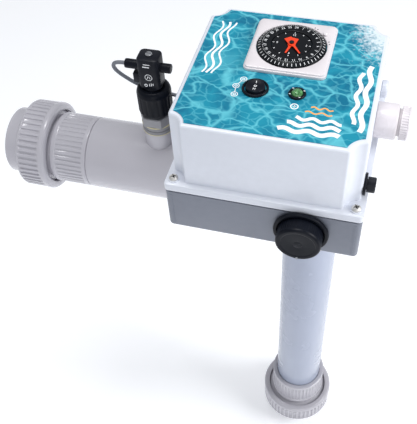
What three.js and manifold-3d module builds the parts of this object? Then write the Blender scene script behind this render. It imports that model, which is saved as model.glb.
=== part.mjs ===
// Salt chlorine generator: a control box with a time switch, standing on the head of an
// electrode cell that is piped between two socket unions, with a paddle flow switch on the run.
//
// Frame, in millimetres: the Z axis is the axis of the vertical pipe, and z = 0 is the end face
// of the lower union. The run pipe lies along X and leaves the cell towards -X. The controls are
// on top of the box, and its output knob faces -Y.
import * as THREE from "three";
import { mergeVertices } from "three/addons/utils/BufferGeometryUtils.js";
import Module from "manifold-3d";

const wasm = await Module();
wasm.setup();

// ---------------------------------------------------------------- driving dimensions
const GAP = 0.3; // between pieces that touch
const RUNNING = 0.6; // round a piece that turns or slides
const FINE = 32; // facets of a large round surface
const COARSE = 16; // facets of a middling one
const SMALL = 12; // facets of a small one
const EDGE = 0.8; // bevel of a moulded edge
const CUT = 2; // how far a cutter runs past what it cuts

// Pipework
const PIPE_R = 31.5; // vertical pipe, outside
const PIPE_WALL = 3;
const RUN_R = 40; // run pipe of the cell, outside
const RUN_WALL = 4;
const RUN_Z = 507; // height of the run's axis
const RUN_LEFT = -251.5; // where the left union starts
const RUN_RIGHT = 45;
const END_CAP = 8; // thickness of the cap on the run's right end
const END_CAP_REACH = 18; // how far it goes into the run
const SOCKET_WALL = 5.7;
const SOCKET_DEPTH = 25; // of the tee's lower socket
const TEE_REACH = 29; // how far that socket stands out of the run
const NECK_R = 37.5; // upward neck that holds the electrode head
const NECK_WALL = 3.5;
const NECK_HEIGHT = 26.2; // how far the neck stands out of the run
const NECK_FLANGE = [6.5, 6]; // how far it stands out of the neck, and its thickness

// Unions, measured outwards from the mouth of the collar
const UNION_LENGTH = 100;
const COLLAR_LENGTH = 45.5; // from the collar's mouth to the nut's mouth
const NUT_LENGTH = 36;
const NUT_WALL = 7.2;
const NUT_RIM = [1, 7]; // how far the smooth rim stands out past the ribs, and its length
const NUT_LIP = 13.2; // thickness of the lip that pulls on the tail
const THREAD_GAP = 0.8; // between the nut's bore and the collar's thread
const TAIL_WALL = 5.9;
const TAIL_FLANGE = [3.8, 7.7]; // how far it stands out of the tail, and its thickness
const PIPE_SOCKET = 36; // depth of the bore for a pipe in the tail and the collar
const PIPE_STOP = 3.5; // step from a pipe's outside in to the waterway
const RIBS = 24;
const RIB_DEPTH = 0.9;
const SEAL_OUT = 2.5; // from a pipe's outside out to the middle of the sealing ring
const SEAL_SECTION_R = 1.9;
const BELT = [4, 37.5]; // where a collar's ribs start and end
const SPIGOT = 20; // how far the left collar reaches into the run
const LEFT_COLLAR_STEP = 0.1; // how much thinner the left collar is than the run
const COLLAR_FLARE = 0.6; // how far the lower collar's flange stands out past its belt
const JOINT = [1.1, 3]; // depth below the tail's outside, and half width, of the joint behind a nut
const NUT_ROUND = 3; // how far the nut's lip and mouth are rounded off

// Control box
const BOX_X = -30;
const BOX_Y = -47;
const LID_SIDE = 165;
const LID_NOTCH_R = 13;
const LID_HEIGHT = 77;
const LID_FLANGE = [5.25, 8]; // how far it stands out of the lid, and its thickness
const CORNER_R = 4;
const WALL = 3;
const TOP_WALL = 3.5;
const BASE_INSET = 0.5; // how far the base stands back from the lid's flange
const BASE_HEIGHT = 48;
const FLOOR = 4;
const GASKET = 1.2;
const GASKET_WIDTH = 3;
const GASKET_INSET = 1.5;
const LABEL = 0.6; // thickness of the printed panel on top
const LABEL_MARGIN = 4;
const SCREW_INSET = 7.75; // from the flange's edge in to a screw
const SCREW_R = 1.6;
const SCREW_HEAD_R = 4;
const SCREW_HEAD = 2.4;
const SLOT_WIDTH = 0.9;
const SCREW_BOSS_R = 5;
const SCREW_BOSS = 1.1;
const SCREW_LENGTH = 30;
const POST_R = 6;

// Time switch, measured from the middle of the lid
const TIMER_AT = [0.8, 30.9];
const TIMER_MARGIN = 5.8; // from the dial's edge to the plate's
const TIMER_PLATE = 4.5;
const TIMER_STEP = 1.5; // height of the plate's upper layer
const TIMER_CORNER_R = 5;
const TIMER_CASE_INSET = 6; // how far the case stands back from the plate's edge
const TIMER_CASE_DEPTH = 44;
const DIAL_R = 30.2;
const DIAL_SLOPE = 4; // width of the dial's sloping edge
const CLOCK_R = 17.4; // the fixed middle of the dial
const DIAL_RISE = 2.5; // how far the dial stands above the plate
const DIAL_SKIRT = 3; // how far it reaches below the plate's face
const CLOCK_SINK = 0.9; // how far the fixed clock face lies below the dial's
const HAND = 0.5;
const HOUR_HAND_DEG = 192; // clockwise from twelve
const MINUTE_HAND_DEG = 144;
const HAND_LENGTH = 15;
const HAND_TAIL = 8;
const HAND_WIDTH = 6.6;
const POST_PIN_R = 1.2;
const PIN_HEAD_R = 2.1;
const PIN_HEAD = 0.8;
const LEVER_OUT = 3; // from the dial's edge out to the lever
const LEVER_DEG = 38;
const LEVER_SWEEP_DEG = 36;
const LEVER_KNOB_R = 2.2;
const LEVER_KNOB = 2.3; // height of its top above the plate
const LEVER_FOOT_R = 1.4;
const LEVER_SLOT = 1.2; // depth of its groove

// Switch and lamp, measured from the middle of the lid
const ROCKER_AT = [-18.5, -26.5];
const ROCKER_BEZEL_R = 11.5;
const ROCKER_R = 8.6;
const ROCKER_PIVOT = 1; // pivot height under the lid's top
const LAMP_AT = [16.8, -26];
const LAMP_BEZEL_R = 7.5;
const LENS_R = 5;
const LENS_RISE = 4; // how far the lens stands above the lid
const LENS_SINK = 6;
const BEZEL = 2.5;
const ROCKER_DEPTH = 20; // of its barrel below the lid
const LAMP_DEPTH = 14;
const ROCKER_HEEL = 4; // from the pivot down to the rocker's flat underside
const ROCKER_VALLEY = [4.3, 6]; // height of its top over the pivot, at the middle and the ends

// Output knob on the front wall: x from the middle of the box, z from the underside of the base
const KNOB_AT = [36.4, 26];
const KNOB_R = 20.2;
const KNOB_LENGTH = 18.3;
const KNOB_LIP = 4.3; // how far the dish stands out of the knob
const KNOB_DISH = 4.2;
const KNOB_WASHER_R = 14;
const KNOB_DISH_FLOOR = 1.2;
const KNOB_STANDOFF = 1.1;
const KNOB_FACE = 4; // thickness of its end face
const KNOB_MARK = [1.6, 4]; // width and length of the pointer groove
const SHAFT_R = 3;
const POT_R = 12;
const POT_DEPTH = 14;

// Fittings on the right wall: y from the middle of the box, z from the lid's lower edge
const FUSE_AT = [-60, 19.5];
const FUSE_FLANGE = [3.1, 2.5]; // how far it stands out of the barrel, and its thickness
const FUSE_CAP_R = 6.8;
const FUSE_REACH = 10; // how far the cap stands out of the wall
const FUSE_BORE_R = 5.2;
const FUSE_WALL = 1.5;
const FUSE_BARREL = 34; // how deep its barrel goes into the box
const FUSE_PLUG = 4; // how far the cap reaches into the bore
const FUSE_LENGTH = 20;
const FUSE_R = 2.6;
const FUSE_END = 5; // length of a metal end
const OUTLET_AT = [5, 34];
const OUTLET_SHOULDER = 3.6; // from the neck out to the body
const OUTLET_LENGTH = 19;
const OUTLET_NECK_R = 12.4;
const OUTLET_NECK = 5.5; // how far the neck stands out of the body
const OUTLET_STEM = 10; // how far it goes into the box
const OUTLET_CAP_OUT = 2.8; // from the neck out to the cap's outside
const OUTLET_CAP_WALL = 1.8;
const OUTLET_GROOVE = 2.5; // between the body and the cap
const OUTLET_SEAL = 2.2;
const PLUG_AT = [45, 35];
const PLUG_HEAD = 2.3; // how far its head stands out of its stem
const PLUG_REACH = 6.3;
const PLUG_STEM_R = 6;
const PLUG_STEM = 8;

// Flow switch on the run pipe
const FLOW_X = -172;
const FLOW_STEM_R = 10.4;
const BOSS_WALL = 5.2;
const BOSS_HEIGHT = 17.5; // above the run pipe
const ADAPTER_STEP = 0.6; // how much wider the adapter is than the boss
const ADAPTER_RING = 10;
const ADAPTER_HEIGHT = 22.5;
const ADAPTER_FLATS = 33;
const FLOW_NUT_WALL = 3.5;
const FLOW_NUT_HEIGHT = 33.5;
const FLOW_LIP = 7.9;
const FLOW_SHOULDER = 3.5; // how much the nut narrows at its foot
const FLOW_STUB = 18.5; // how far the adapter's stub goes up into the nut
const SLIP_RING = 2.4;
const FLOW_FLANGE = 4.1; // from the stem out to the nut's bore
const FLOW_BODY = [23, 20]; // width and depth of the switch block
const FLOW_HEIGHT = 35.8; // of that block
const FLOW_CORNER_R = 5;
const FLOW_NECK = 2.2; // gap between the nut and the block
const HEAD_SCREW_R = 1.8;
const HEAD_SCREW = 5; // how deep it goes
const HEAD_SCREW_CAP = [3.6, 1.8]; // radius and height of its head
const REED_DROP = 14; // from the top of the block down to the reed bar
const REED_R = 4.9;
const REED_LENGTH = 48;
const REED_MIDDLE = -174.3;
const LUG = [7, 10, 12];
const LUG_DROP = 28;
const PIVOT_DROP = 21; // from the adapter's top down to the paddle's pin
const PADDLE_DIP = 7; // how far the blade reaches below the run's axis
const PADDLE = [1.6, 13]; // thickness and width of the blade
const PADDLE_ARM = [3.2, 4.2]; // thickness and width of the arm
const PADDLE_EYE_R = 3;
const PADDLE_PIN_R = 1.2;
const BLADE_DROP = 12; // from the pivot down to the blade
const FORK_WIDTH = 5;
const FORK_BELOW = 5; // how far the stem's fork reaches below the pivot
const FORK_ABOVE = 8;

// Sensor cable: from the reed bar's left end to the gland on the base's left wall
const CABLE_R = 2;
const GLAND_AT = [66, 17]; // y from the middle of the box, z from the underside of the base
const GLAND_R = 8.2;
const GLAND_STEM_R = 5.9;
const GLAND_HEX = 5; // thickness of its hexagon
const GLAND_REACH = 14;
const CABLE_ROUTE = [
  [-198.6, 0, 644.5],
  [-205, 0.2, 644],
  [-210.5, 1.2, 641.5],
  [-213.5, 3, 636.5],
  [-213.5, 5.5, 630],
  [-210.5, 8.5, 622.5],
  [-205.5, 12, 614.5],
  [-199, 15.5, 606.5],
  [-191, 19, 599.5],
  [-181, 21.8, 594.5],
  [-169, 22.8, 591.5],
  [-156, 22, 590.5],
  [-145, 20, 590.5],
  [-137, 19.1, 590.5],
  [-131.6, 19, 590.5],
];

// Electrodes in the vertical pipe
const PLATE = [44, 1.5, 251]; // width, thickness, length
const PLATE_PITCH = 9;
const PLATE_GRIP = 6; // how far a plate goes up into the head
const PLATE_COUNT = 3;
const HEAD_CLEAR = 2; // from the run's bore up to the head
const HEAD_STUB_R = 29.8;
const HEAD_RISE = 5; // how far the head stands up inside the box
const TERMINAL_R = 3;
const TERMINAL_HEIGHT = 17;
const TERMINAL_SPACING = 24;

// Clamp that steadies the box on the run pipe
const SADDLE_X = -90;
const SADDLE_WIDTH = 30;
const SADDLE_MARGIN = 5.5; // from a bolt's middle out to the end of the saddle
const STRAP = 3.5;
const EAR = 8;
const BOLT_R = 2.8;
const BOLT_OUT = 8.5; // from the run pipe out to a bolt
const BOLT_REACH = 24; // how far a bolt goes into the saddle
const BOLT_HEAD = [9, 4]; // width across flats and height

// Electrics on the floor of the box, from the middle of the box
const TRANSFORMER = [60, 56, 50];
const TRANSFORMER_AT = [-42, 38];
const COIL_SHARE = 0.66; // width of the coil over that of the core
const COIL_INSET = 7;
const BOARD = [78, 60, 1.6];
const BOARD_AT = [-38, -38];
const BOARD_LIFT = 7;
const BOARD_FOOT_R = 3;
const BOARD_FOOT_INSET = 5;

// ---------------------------------------------------------------- derived values
const RUN_BORE_R = RUN_R - RUN_WALL;
const PIPE_BORE_R = PIPE_R - PIPE_WALL;
const NECK_BORE_R = NECK_R - NECK_WALL;
const SOCKET_R = PIPE_R + GAP;
const WATERWAY_R = PIPE_R - PIPE_STOP;
const TAIL_R = SOCKET_R + TAIL_WALL;
const THREAD_R = TAIL_R + TAIL_FLANGE[0];
const NUT_BORE_R = THREAD_R + THREAD_GAP;
const NUT_R = NUT_BORE_R + NUT_WALL;
const NUT_RIM_R = NUT_R + NUT_RIM[0];
const SEAL_R = PIPE_R + SEAL_OUT;
const LOWER_JOINT = UNION_LENGTH;
const SEAL_FACE = COLLAR_LENGTH + NUT_LENGTH - NUT_LIP - TAIL_FLANGE[1] - 2 * GAP;
const TEE_BOTTOM = RUN_Z - RUN_R - TEE_REACH;
const PIPE_TOP = TEE_BOTTOM + SOCKET_DEPTH;
const NECK_TOP = RUN_Z + RUN_R + NECK_HEIGHT;
const HEAD_BOTTOM = RUN_Z + RUN_BORE_R + HEAD_CLEAR;
const PLATE_TOP = HEAD_BOTTOM + PLATE_GRIP;
const BASE_BOTTOM = NECK_TOP + GAP;
const FLANGE_BOTTOM = BASE_BOTTOM + BASE_HEIGHT;
const BOX_TOP = FLANGE_BOTTOM + LID_HEIGHT;
const FLANGE_TOP = FLANGE_BOTTOM + LID_FLANGE[1];
const LID_FLANGE_SIDE = LID_SIDE + 2 * LID_FLANGE[0];
const BASE_SIDE = LID_FLANGE_SIDE - 2 * BASE_INSET;
const SCREW_OFFSET = LID_FLANGE_SIDE / 2 - SCREW_INSET;
const BASE_TOP = FLANGE_BOTTOM - GASKET - GAP;
const FLOOR_TOP = BASE_BOTTOM + FLOOR;
const TIMER_SIDE = 2 * (DIAL_R + TIMER_MARGIN);
const TIMER_CASE_SIDE = TIMER_SIDE - 2 * TIMER_CASE_INSET;
const LEVER_ORBIT_R = DIAL_R + LEVER_OUT;
const FUSE_BARREL_R = FUSE_BORE_R + FUSE_WALL;
const FLOW_HOLE_R = FLOW_STEM_R + RUNNING;
const BOSS_R = FLOW_HOLE_R + BOSS_WALL;
const BOSS_TOP = RUN_Z + RUN_R + BOSS_HEIGHT;
const ADAPTER_R = BOSS_R + ADAPTER_STEP;
const ADAPTER_TOP = BOSS_TOP + ADAPTER_HEIGHT;
const FLOW_FLANGE_R = FLOW_STEM_R + FLOW_FLANGE;
const FLOW_NUT_R = FLOW_FLANGE_R + FLOW_NUT_WALL;
const FLOW_NUT_TOP = ADAPTER_TOP + FLOW_NUT_HEIGHT;
const FLOW_SHOULDER_Z = FLOW_NUT_TOP + FLOW_NECK;
const FLOW_TOP = FLOW_SHOULDER_Z + FLOW_HEIGHT;
const REED_Z = FLOW_TOP - REED_DROP;
const LUG_Z = FLOW_TOP - LUG_DROP;
const PADDLE_PIVOT_Z = ADAPTER_TOP - PIVOT_DROP;
const BOLT_OFFSET = RUN_R + BOLT_OUT;
const SADDLE_REACH = BOLT_OFFSET + SADDLE_MARGIN;
const STUB_TOP = ADAPTER_TOP + FLOW_STUB;
const SLIP_RING_FOOT = FLOW_NUT_TOP - FLOW_LIP - SLIP_RING - GAP;
const SHELL_TOP = BOX_TOP - LABEL;
const PLATE_FACE = BOX_TOP + TIMER_PLATE;
const DIAL_FACE = PLATE_FACE + DIAL_RISE;
const CLOCK_FACE = DIAL_FACE - CLOCK_SINK;
const HOUR_HAND_Z = CLOCK_FACE + GAP;
const MINUTE_HAND_Z = HOUR_HAND_Z + HAND + GAP;
const PIN_TOP = MINUTE_HAND_Z + HAND + GAP + PIN_HEAD;

// ---------------------------------------------------------------- finishes
const finish = (color, roughness, metalness = 0) =>
  new THREE.MeshStandardMaterial({ color, roughness, metalness });
const LIGHT_GREY = finish(0xd7dce6, 0.35);
const MID_GREY = finish(0x7d828e, 0.5);
const PIPE_GREY = finish(0xb4b6c0, 0.4);
const WHITE = finish(0xebe1e4, 0.35);
const BLACK = finish(0x1e232d, 0.4);
const ORANGE = finish(0xeb4614, 0.4);
const TEAL = finish(0x1490a8, 0.3);
const GREEN = finish(0x326e3c, 0.15);
const RUBBER = finish(0x26282c, 0.85);
const CABLE_GREY = finish(0x6d717a, 0.6);
const STEEL = finish(0xc8ccd2, 0.3, 1);
const TITANIUM = finish(0x8c8a88, 0.45, 1);
const BOARD_GREEN = finish(0x2f6b45, 0.6);

// ---------------------------------------------------------------- shapes
/** Triangles without those that mergeVertices has folded onto a line. */
function wholeTriangles(corners) {
  const kept = [];
  for (let i = 0; i < corners.length; i += 3) {
    const [a, b, c] = [corners[i], corners[i + 1], corners[i + 2]];
    if (a !== b && b !== c && c !== a) kept.push(a, b, c);
  }
  return kept;
}

/** A closed three.js geometry as a solid with its faces pointing out. */
function solidOf(geometry) {
  const loose = geometry.index ? geometry.toNonIndexed() : geometry;
  const bare = new THREE.BufferGeometry();
  bare.setAttribute("position", loose.getAttribute("position"));
  const merged = mergeVertices(bare, 1e-4);
  const corners = wholeTriangles(merged.index.array);
  const vertProperties = merged.attributes.position.array;
  const made = (order) =>
    new wasm.Manifold(
      new wasm.Mesh({ numProp: 3, vertProperties, triVerts: new Uint32Array(order) }),
    );
  const solid = made(corners);
  return solid.volume() > 0 ? solid : made(corners.reverse());
}

/** A solid as a three.js geometry. */
function geometryOf(solid) {
  const mesh = solid.getMesh();
  const geometry = new THREE.BufferGeometry();
  geometry.setAttribute("position", new THREE.BufferAttribute(mesh.vertProperties, 3));
  geometry.setIndex(new THREE.BufferAttribute(mesh.triVerts, 1));
  geometry.computeVertexNormals();
  return geometry;
}

const joined = (...solids) => solids.reduce((whole, next) => whole.add(next));
const cut = (solid, ...cutters) => cutters.reduce((rest, next) => rest.subtract(next), solid);

/** Profile of [radius, height] points turned round the Z axis. */
function turnedShape(profile, sides) {
  const points = profile.map(([radius, height]) => new THREE.Vector2(radius, height));
  return new THREE.LatheGeometry(points, sides).rotateX(Math.PI / 2);
}
const turned = (profile, sides = FINE) => solidOf(turnedShape(profile, sides));

const discProfile = (radius, low, high) => [[0, low], [radius, low], [radius, high], [0, high]];
const disc = (radius, low, high, sides = FINE) => turned(discProfile(radius, low, high), sides);
const tube = (outer, inner, low, high, sides = FINE) =>
  turned([[inner, low], [outer, low], [outer, high], [inner, high], [inner, low]], sides);

/** A disc whose upper edge is bevelled. */
const cappedDisc = (radius, low, high, bevel, sides = FINE) =>
  turned([[0, low], [radius, low], [radius, high - bevel], [radius - bevel, high], [0, high]], sides);

/** A disc standing at (x, y). */
const discAt = (radius, low, high, x, y, sides = COARSE) =>
  solidOf(turnedShape(discProfile(radius, low, high), sides).translate(x, y, 0));

/** A round bar along X, through (y, z). */
const barX = (radius, from, to, y, z, sides = FINE) =>
  solidOf(turnedShape(discProfile(radius, from, to), sides).rotateY(Math.PI / 2).translate(0, y, z));

/** A round bar along Y, through (x, z). */
const barY = (radius, from, to, x, z, sides = COARSE) =>
  solidOf(turnedShape(discProfile(radius, from, to), sides).rotateX(-Math.PI / 2).translate(x, 0, z));

/** A block centred on (x, y), from low to high. */
const block = (width, depth, low, high, x = 0, y = 0) =>
  solidOf(new THREE.BoxGeometry(width, depth, high - low).translate(x, y, (low + high) / 2));

/** A flat outline raised from low to high. */
function raised(shape, low, high) {
  const settings = { depth: high - low, bevelEnabled: false, curveSegments: 3 };
  return solidOf(new THREE.ExtrudeGeometry(shape, settings).translate(0, 0, low));
}

/** Corner centres of a square, anticlockwise from +X +Y. */
const CORNERS = [[1, 1], [-1, 1], [-1, -1], [1, -1]];

/** Square with round corners. */
function roundedSquare(side, radius) {
  const middle = side / 2 - radius;
  const shape = new THREE.Shape();
  CORNERS.forEach(([x, y], i) => {
    const start = (i * Math.PI) / 2;
    shape.absarc(x * middle, y * middle, radius, start, start + Math.PI / 2, false);
  });
  return shape;
}

/** Square whose corners are scooped out by quarter circles. */
function notchedSquare(side, radius) {
  const half = side / 2;
  const shape = new THREE.Shape();
  CORNERS.forEach(([x, y], i) => {
    const start = ((i + 3) * Math.PI) / 2;
    shape.absarc(x * half, y * half, radius, start, start - Math.PI / 2, true);
  });
  return shape;
}

/** Round outline with shallow ribs. */
function ribbedOutline(radius) {
  const points = [];
  for (let i = 0; i < 2 * RIBS; i++) {
    const turn = (i * Math.PI) / RIBS;
    const reach = i % 2 ? radius - RIB_DEPTH : radius;
    points.push(new THREE.Vector2(reach * Math.cos(turn), reach * Math.sin(turn)));
  }
  return new THREE.Shape(points);
}

/** Hexagon by its width across flats. */
function hexagon(flats) {
  const reach = flats / Math.sqrt(3);
  const corner = (i) => [reach * Math.cos((i * Math.PI) / 3), reach * Math.sin((i * Math.PI) / 3)];
  return new THREE.Shape([0, 1, 2, 3, 4, 5].map((i) => new THREE.Vector2(...corner(i))));
}

/** Adds a solid to a group as a named piece. */
function piece(group, name, solid, material) {
  const mesh = new THREE.Mesh(geometryOf(solid), material);
  mesh.name = name;
  group.add(mesh);
  return mesh;
}

/** A group inside the given one, at a place and turned. */
function subGroup(parent, position, rotation = [0, 0, 0]) {
  const group = new THREE.Group();
  group.position.set(...position);
  group.rotation.set(...rotation);
  parent.add(group);
  return group;
}

// ---------------------------------------------------------------- unions
/** Profile of a collar's flange, its threaded stub and the groove in its end face. */
function collarStub(outer, start) {
  const [depth, width] = JOINT;
  const grooveIn = SEAL_R - SEAL_SECTION_R - GAP;
  const grooveOut = SEAL_R + SEAL_SECTION_R + GAP;
  const grooveFloor = SEAL_FACE - 2 * SEAL_SECTION_R - GAP;
  return [
    [outer, start],
    [outer, COLLAR_LENGTH - width],
    [TAIL_R - depth, COLLAR_LENGTH - width],
    [TAIL_R - depth, COLLAR_LENGTH + width],
    [THREAD_R, COLLAR_LENGTH + width + 1],
    [THREAD_R, SEAL_FACE],
    [grooveOut, SEAL_FACE],
    [grooveOut, grooveFloor],
    [grooveIn, grooveFloor],
    [grooveIn, SEAL_FACE],
    [WATERWAY_R, SEAL_FACE],
  ];
}

/** The ribbed belt of a collar, as a sleeve over the given radius. */
const ribbedBelt = (outer, inner) =>
  cut(raised(ribbedOutline(outer), BELT[0], BELT[1]), disc(inner, 0, COLLAR_LENGTH));

/** Collar with a socket that is glued over the vertical pipe. */
function socketCollar() {
  const outer = SOCKET_R + SOCKET_WALL;
  const core = turned([
    [SOCKET_R, 0],
    [outer - EDGE, 0],
    [outer, EDGE],
    [outer, BELT[0]],
    [outer - RIB_DEPTH, BELT[0]],
    [outer - RIB_DEPTH, BELT[1]],
    ...collarStub(outer + COLLAR_FLARE, BELT[1]),
    [WATERWAY_R, PIPE_SOCKET + GAP],
    [SOCKET_R, PIPE_SOCKET + GAP],
    [SOCKET_R, 0],
  ]);
  return core.add(ribbedBelt(outer, outer - 2 * RIB_DEPTH));
}

/** Collar with a spigot that is glued into the run pipe. */
function spigotCollar() {
  const outer = RUN_R - LEFT_COLLAR_STEP;
  const spigot = RUN_BORE_R - GAP;
  const core = turned([
    [WATERWAY_R, -SPIGOT],
    [spigot, -SPIGOT],
    [spigot, GAP],
    [outer, GAP],
    [outer, BELT[0]],
    [outer - RIB_DEPTH, BELT[0]],
    [outer - RIB_DEPTH, BELT[1]],
    ...collarStub(outer, BELT[1]),
    [WATERWAY_R, -SPIGOT],
  ]);
  return core.add(ribbedBelt(outer, outer - 2 * RIB_DEPTH));
}

/** Ribbed nut that draws the tail onto the collar. */
function unionNut() {
  const start = COLLAR_LENGTH;
  const end = start + NUT_LENGTH;
  const rim = turned([
    [0, start],
    [NUT_RIM_R - NUT_ROUND, start],
    [NUT_RIM_R - NUT_ROUND / 3, start + NUT_ROUND / 4],
    [NUT_RIM_R, start + NUT_ROUND],
    [NUT_RIM_R, start + NUT_RIM[1]],
    [0, start + NUT_RIM[1]],
  ]);
  const ribsEnd = end - NUT_ROUND;
  const lip = turned([
    [0, ribsEnd - 1],
    [NUT_R - 1, ribsEnd - 1],
    [NUT_R - NUT_ROUND, end],
    [0, end],
  ]);
  return cut(
    joined(rim, raised(ribbedOutline(NUT_R), start + NUT_RIM[1] - 1, ribsEnd), lip),
    disc(NUT_BORE_R, start - CUT, end - NUT_LIP),
    disc(TAIL_R + RUNNING, start, end + CUT),
  );
}

/** Tail whose socket takes the user's pipe. */
function unionTail() {
  const flangeFoot = SEAL_FACE + GAP;
  const flangeTop = flangeFoot + TAIL_FLANGE[1];
  return cut(
    turned([
      [0, flangeFoot],
      [THREAD_R, flangeFoot],
      [THREAD_R, flangeTop],
      [TAIL_R, flangeTop],
      [TAIL_R, UNION_LENGTH - 2 * EDGE],
      [TAIL_R - 2 * EDGE, UNION_LENGTH],
      [0, UNION_LENGTH],
    ]),
    disc(SOCKET_R, UNION_LENGTH - PIPE_SOCKET, UNION_LENGTH + CUT),
    disc(WATERWAY_R, flangeFoot - CUT, UNION_LENGTH),
  );
}

/** Sealing ring in the groove of the collar. */
function sealRing() {
  const points = [];
  for (let i = 0; i < 6; i++) {
    const turn = (i * Math.PI) / 3;
    const across = SEAL_R + SEAL_SECTION_R * Math.cos(turn);
    points.push([across, SEAL_FACE - SEAL_SECTION_R + SEAL_SECTION_R * Math.sin(turn)]);
  }
  return turned([...points, points[0]]);
}

/** One union: collar, nut, tail and sealing ring along the group's +Z. */
function addUnion(group, side, collar) {
  piece(group, `${side}_collar`, collar, PIPE_GREY);
  piece(group, `${side}_union_nut`, unionNut(), PIPE_GREY);
  piece(group, `${side}_union_tail`, unionTail(), PIPE_GREY);
  piece(group, `${side}_seal_ring`, sealRing(), RUBBER);
}

// ---------------------------------------------------------------- cell
/** Run pipe with an upward neck and a socket for the vertical pipe. */
function cellTee() {
  const shell = joined(
    barX(RUN_R, RUN_LEFT, RUN_RIGHT, 0, RUN_Z),
    disc(NECK_R, RUN_Z, NECK_TOP),
    disc(NECK_R + NECK_FLANGE[0], NECK_TOP - NECK_FLANGE[1], NECK_TOP),
    disc(SOCKET_R + SOCKET_WALL, TEE_BOTTOM, RUN_Z),
  );
  return cut(
    shell,
    barX(RUN_BORE_R, RUN_LEFT - CUT, RUN_RIGHT + CUT, 0, RUN_Z),
    disc(NECK_BORE_R, RUN_Z, NECK_TOP + CUT),
    disc(SOCKET_R, TEE_BOTTOM - CUT, PIPE_TOP + GAP),
    disc(PIPE_BORE_R, TEE_BOTTOM, RUN_Z),
    discAt(FLOW_HOLE_R, RUN_Z, RUN_Z + RUN_R + CUT, FLOW_X, 0),
  );
}

/** Cap glued into the run's right end. */
function runEndCap() {
  const flangeStart = RUN_RIGHT + GAP;
  return joined(
    barX(RUN_BORE_R - GAP, RUN_RIGHT - END_CAP_REACH, flangeStart + 1, 0, RUN_Z),
    barX(RUN_R, flangeStart, flangeStart + END_CAP, 0, RUN_Z),
  );
}

/** Where each electrode plate stands across the pipe. */
const plateOffsets = Array.from(
  { length: PLATE_COUNT },
  (_, i) => (i - (PLATE_COUNT - 1) / 2) * PLATE_PITCH,
);

/** Plug in the neck that carries the plates, with moulded-in studs up in the box. */
function electrodeHead() {
  const slots = plateOffsets.map((y) =>
    block(PLATE[0] + 2 * GAP, PLATE[1] + 2 * GAP, HEAD_BOTTOM - CUT, PLATE_TOP + GAP, 0, y),
  );
  const studTop = FLOOR_TOP + TERMINAL_HEIGHT;
  const studs = [-1, 1].map((side) =>
    discAt(TERMINAL_R, FLOOR_TOP, studTop, (side * TERMINAL_SPACING) / 2, 0, SMALL),
  );
  const plug = joined(
    disc(NECK_BORE_R - GAP, HEAD_BOTTOM, NECK_TOP - GAP),
    disc(HEAD_STUB_R, NECK_TOP - GAP - 1, FLOOR_TOP + HEAD_RISE),
    ...studs,
  );
  return cut(plug, ...slots);
}

/** The cell: tee, cap, electrode head with its plates, and the vertical pipe. */
function addCell(group) {
  piece(group, "cell_tee", cellTee(), PIPE_GREY);
  piece(group, "run_end_cap", runEndCap(), PIPE_GREY);
  const pipeFoot = LOWER_JOINT - PIPE_SOCKET;
  piece(group, "vertical_pipe", tube(PIPE_R, PIPE_BORE_R, pipeFoot, PIPE_TOP), PIPE_GREY);
  piece(group, "electrode_head", electrodeHead(), MID_GREY);
  plateOffsets.forEach((y, i) => {
    const plate = block(PLATE[0], PLATE[1], PLATE_TOP - PLATE[2], PLATE_TOP, 0, y);
    piece(group, `electrode_plate_${i + 1}`, plate, TITANIUM);
  });
}

// ---------------------------------------------------------------- clamp
/** Clearance for the run pipe through a piece of the given width at x. */
const pipeAt = (x, width) => barX(RUN_R + GAP, x - width, x + width, 0, RUN_Z);

/** Saddle block between the run pipe and the floor of the box. */
function saddle() {
  const body = block(SADDLE_WIDTH, 2 * SADDLE_REACH, RUN_Z + CUT, NECK_TOP, SADDLE_X, 0);
  const holes = [-1, 1].map((side) =>
    discAt(BOLT_R + GAP, RUN_Z, RUN_Z + BOLT_REACH + CUT, SADDLE_X, side * BOLT_OFFSET, SMALL),
  );
  return cut(body, pipeAt(SADDLE_X, SADDLE_WIDTH), ...holes);
}

/** Half band with two ears that holds the run pipe up against the saddle. */
function saddleStrap() {
  const inner = RUN_R + GAP;
  const from = SADDLE_X - SADDLE_WIDTH / 2;
  const to = SADDLE_X + SADDLE_WIDTH / 2;
  const band = joined(
    barX(inner + STRAP, from, to, 0, RUN_Z),
    block(SADDLE_WIDTH, 2 * SADDLE_REACH, RUN_Z - EAR, RUN_Z, SADDLE_X, 0),
  );
  const holes = [-1, 1].map((side) =>
    discAt(BOLT_R + GAP, RUN_Z - 2 * EAR, RUN_Z + CUT, SADDLE_X, side * BOLT_OFFSET, SMALL),
  );
  const above = block(SADDLE_WIDTH + CUT, 4 * SADDLE_REACH, RUN_Z, RUN_Z + 2 * RUN_R, SADDLE_X);
  return cut(band, pipeAt(SADDLE_X, SADDLE_WIDTH), above, ...holes);
}

function addClamp(group) {
  piece(group, "pipe_saddle", saddle(), MID_GREY);
  piece(group, "saddle_strap", saddleStrap(), MID_GREY);
  [-1, 1].forEach((side, i) => {
    const head = RUN_Z - EAR - GAP;
    const bolt = subGroup(group, [SADDLE_X, side * BOLT_OFFSET, 0]);
    const shape = joined(
      raised(hexagon(BOLT_HEAD[0]), head - BOLT_HEAD[1], head),
      disc(BOLT_R, head - 1, RUN_Z + BOLT_REACH, SMALL),
    );
    piece(bolt, `saddle_bolt_${i + 1}`, shape, STEEL);
  });
}

// ---------------------------------------------------------------- control box
/** A place on a wall with its height counted from the given level. */
const above = ([across, height], level) => [across, level + height];

/** Every screw place, in the box's own frame. */
const screwPlaces = CORNERS.map(([x, y]) => [x * SCREW_OFFSET, y * SCREW_OFFSET]);

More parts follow.
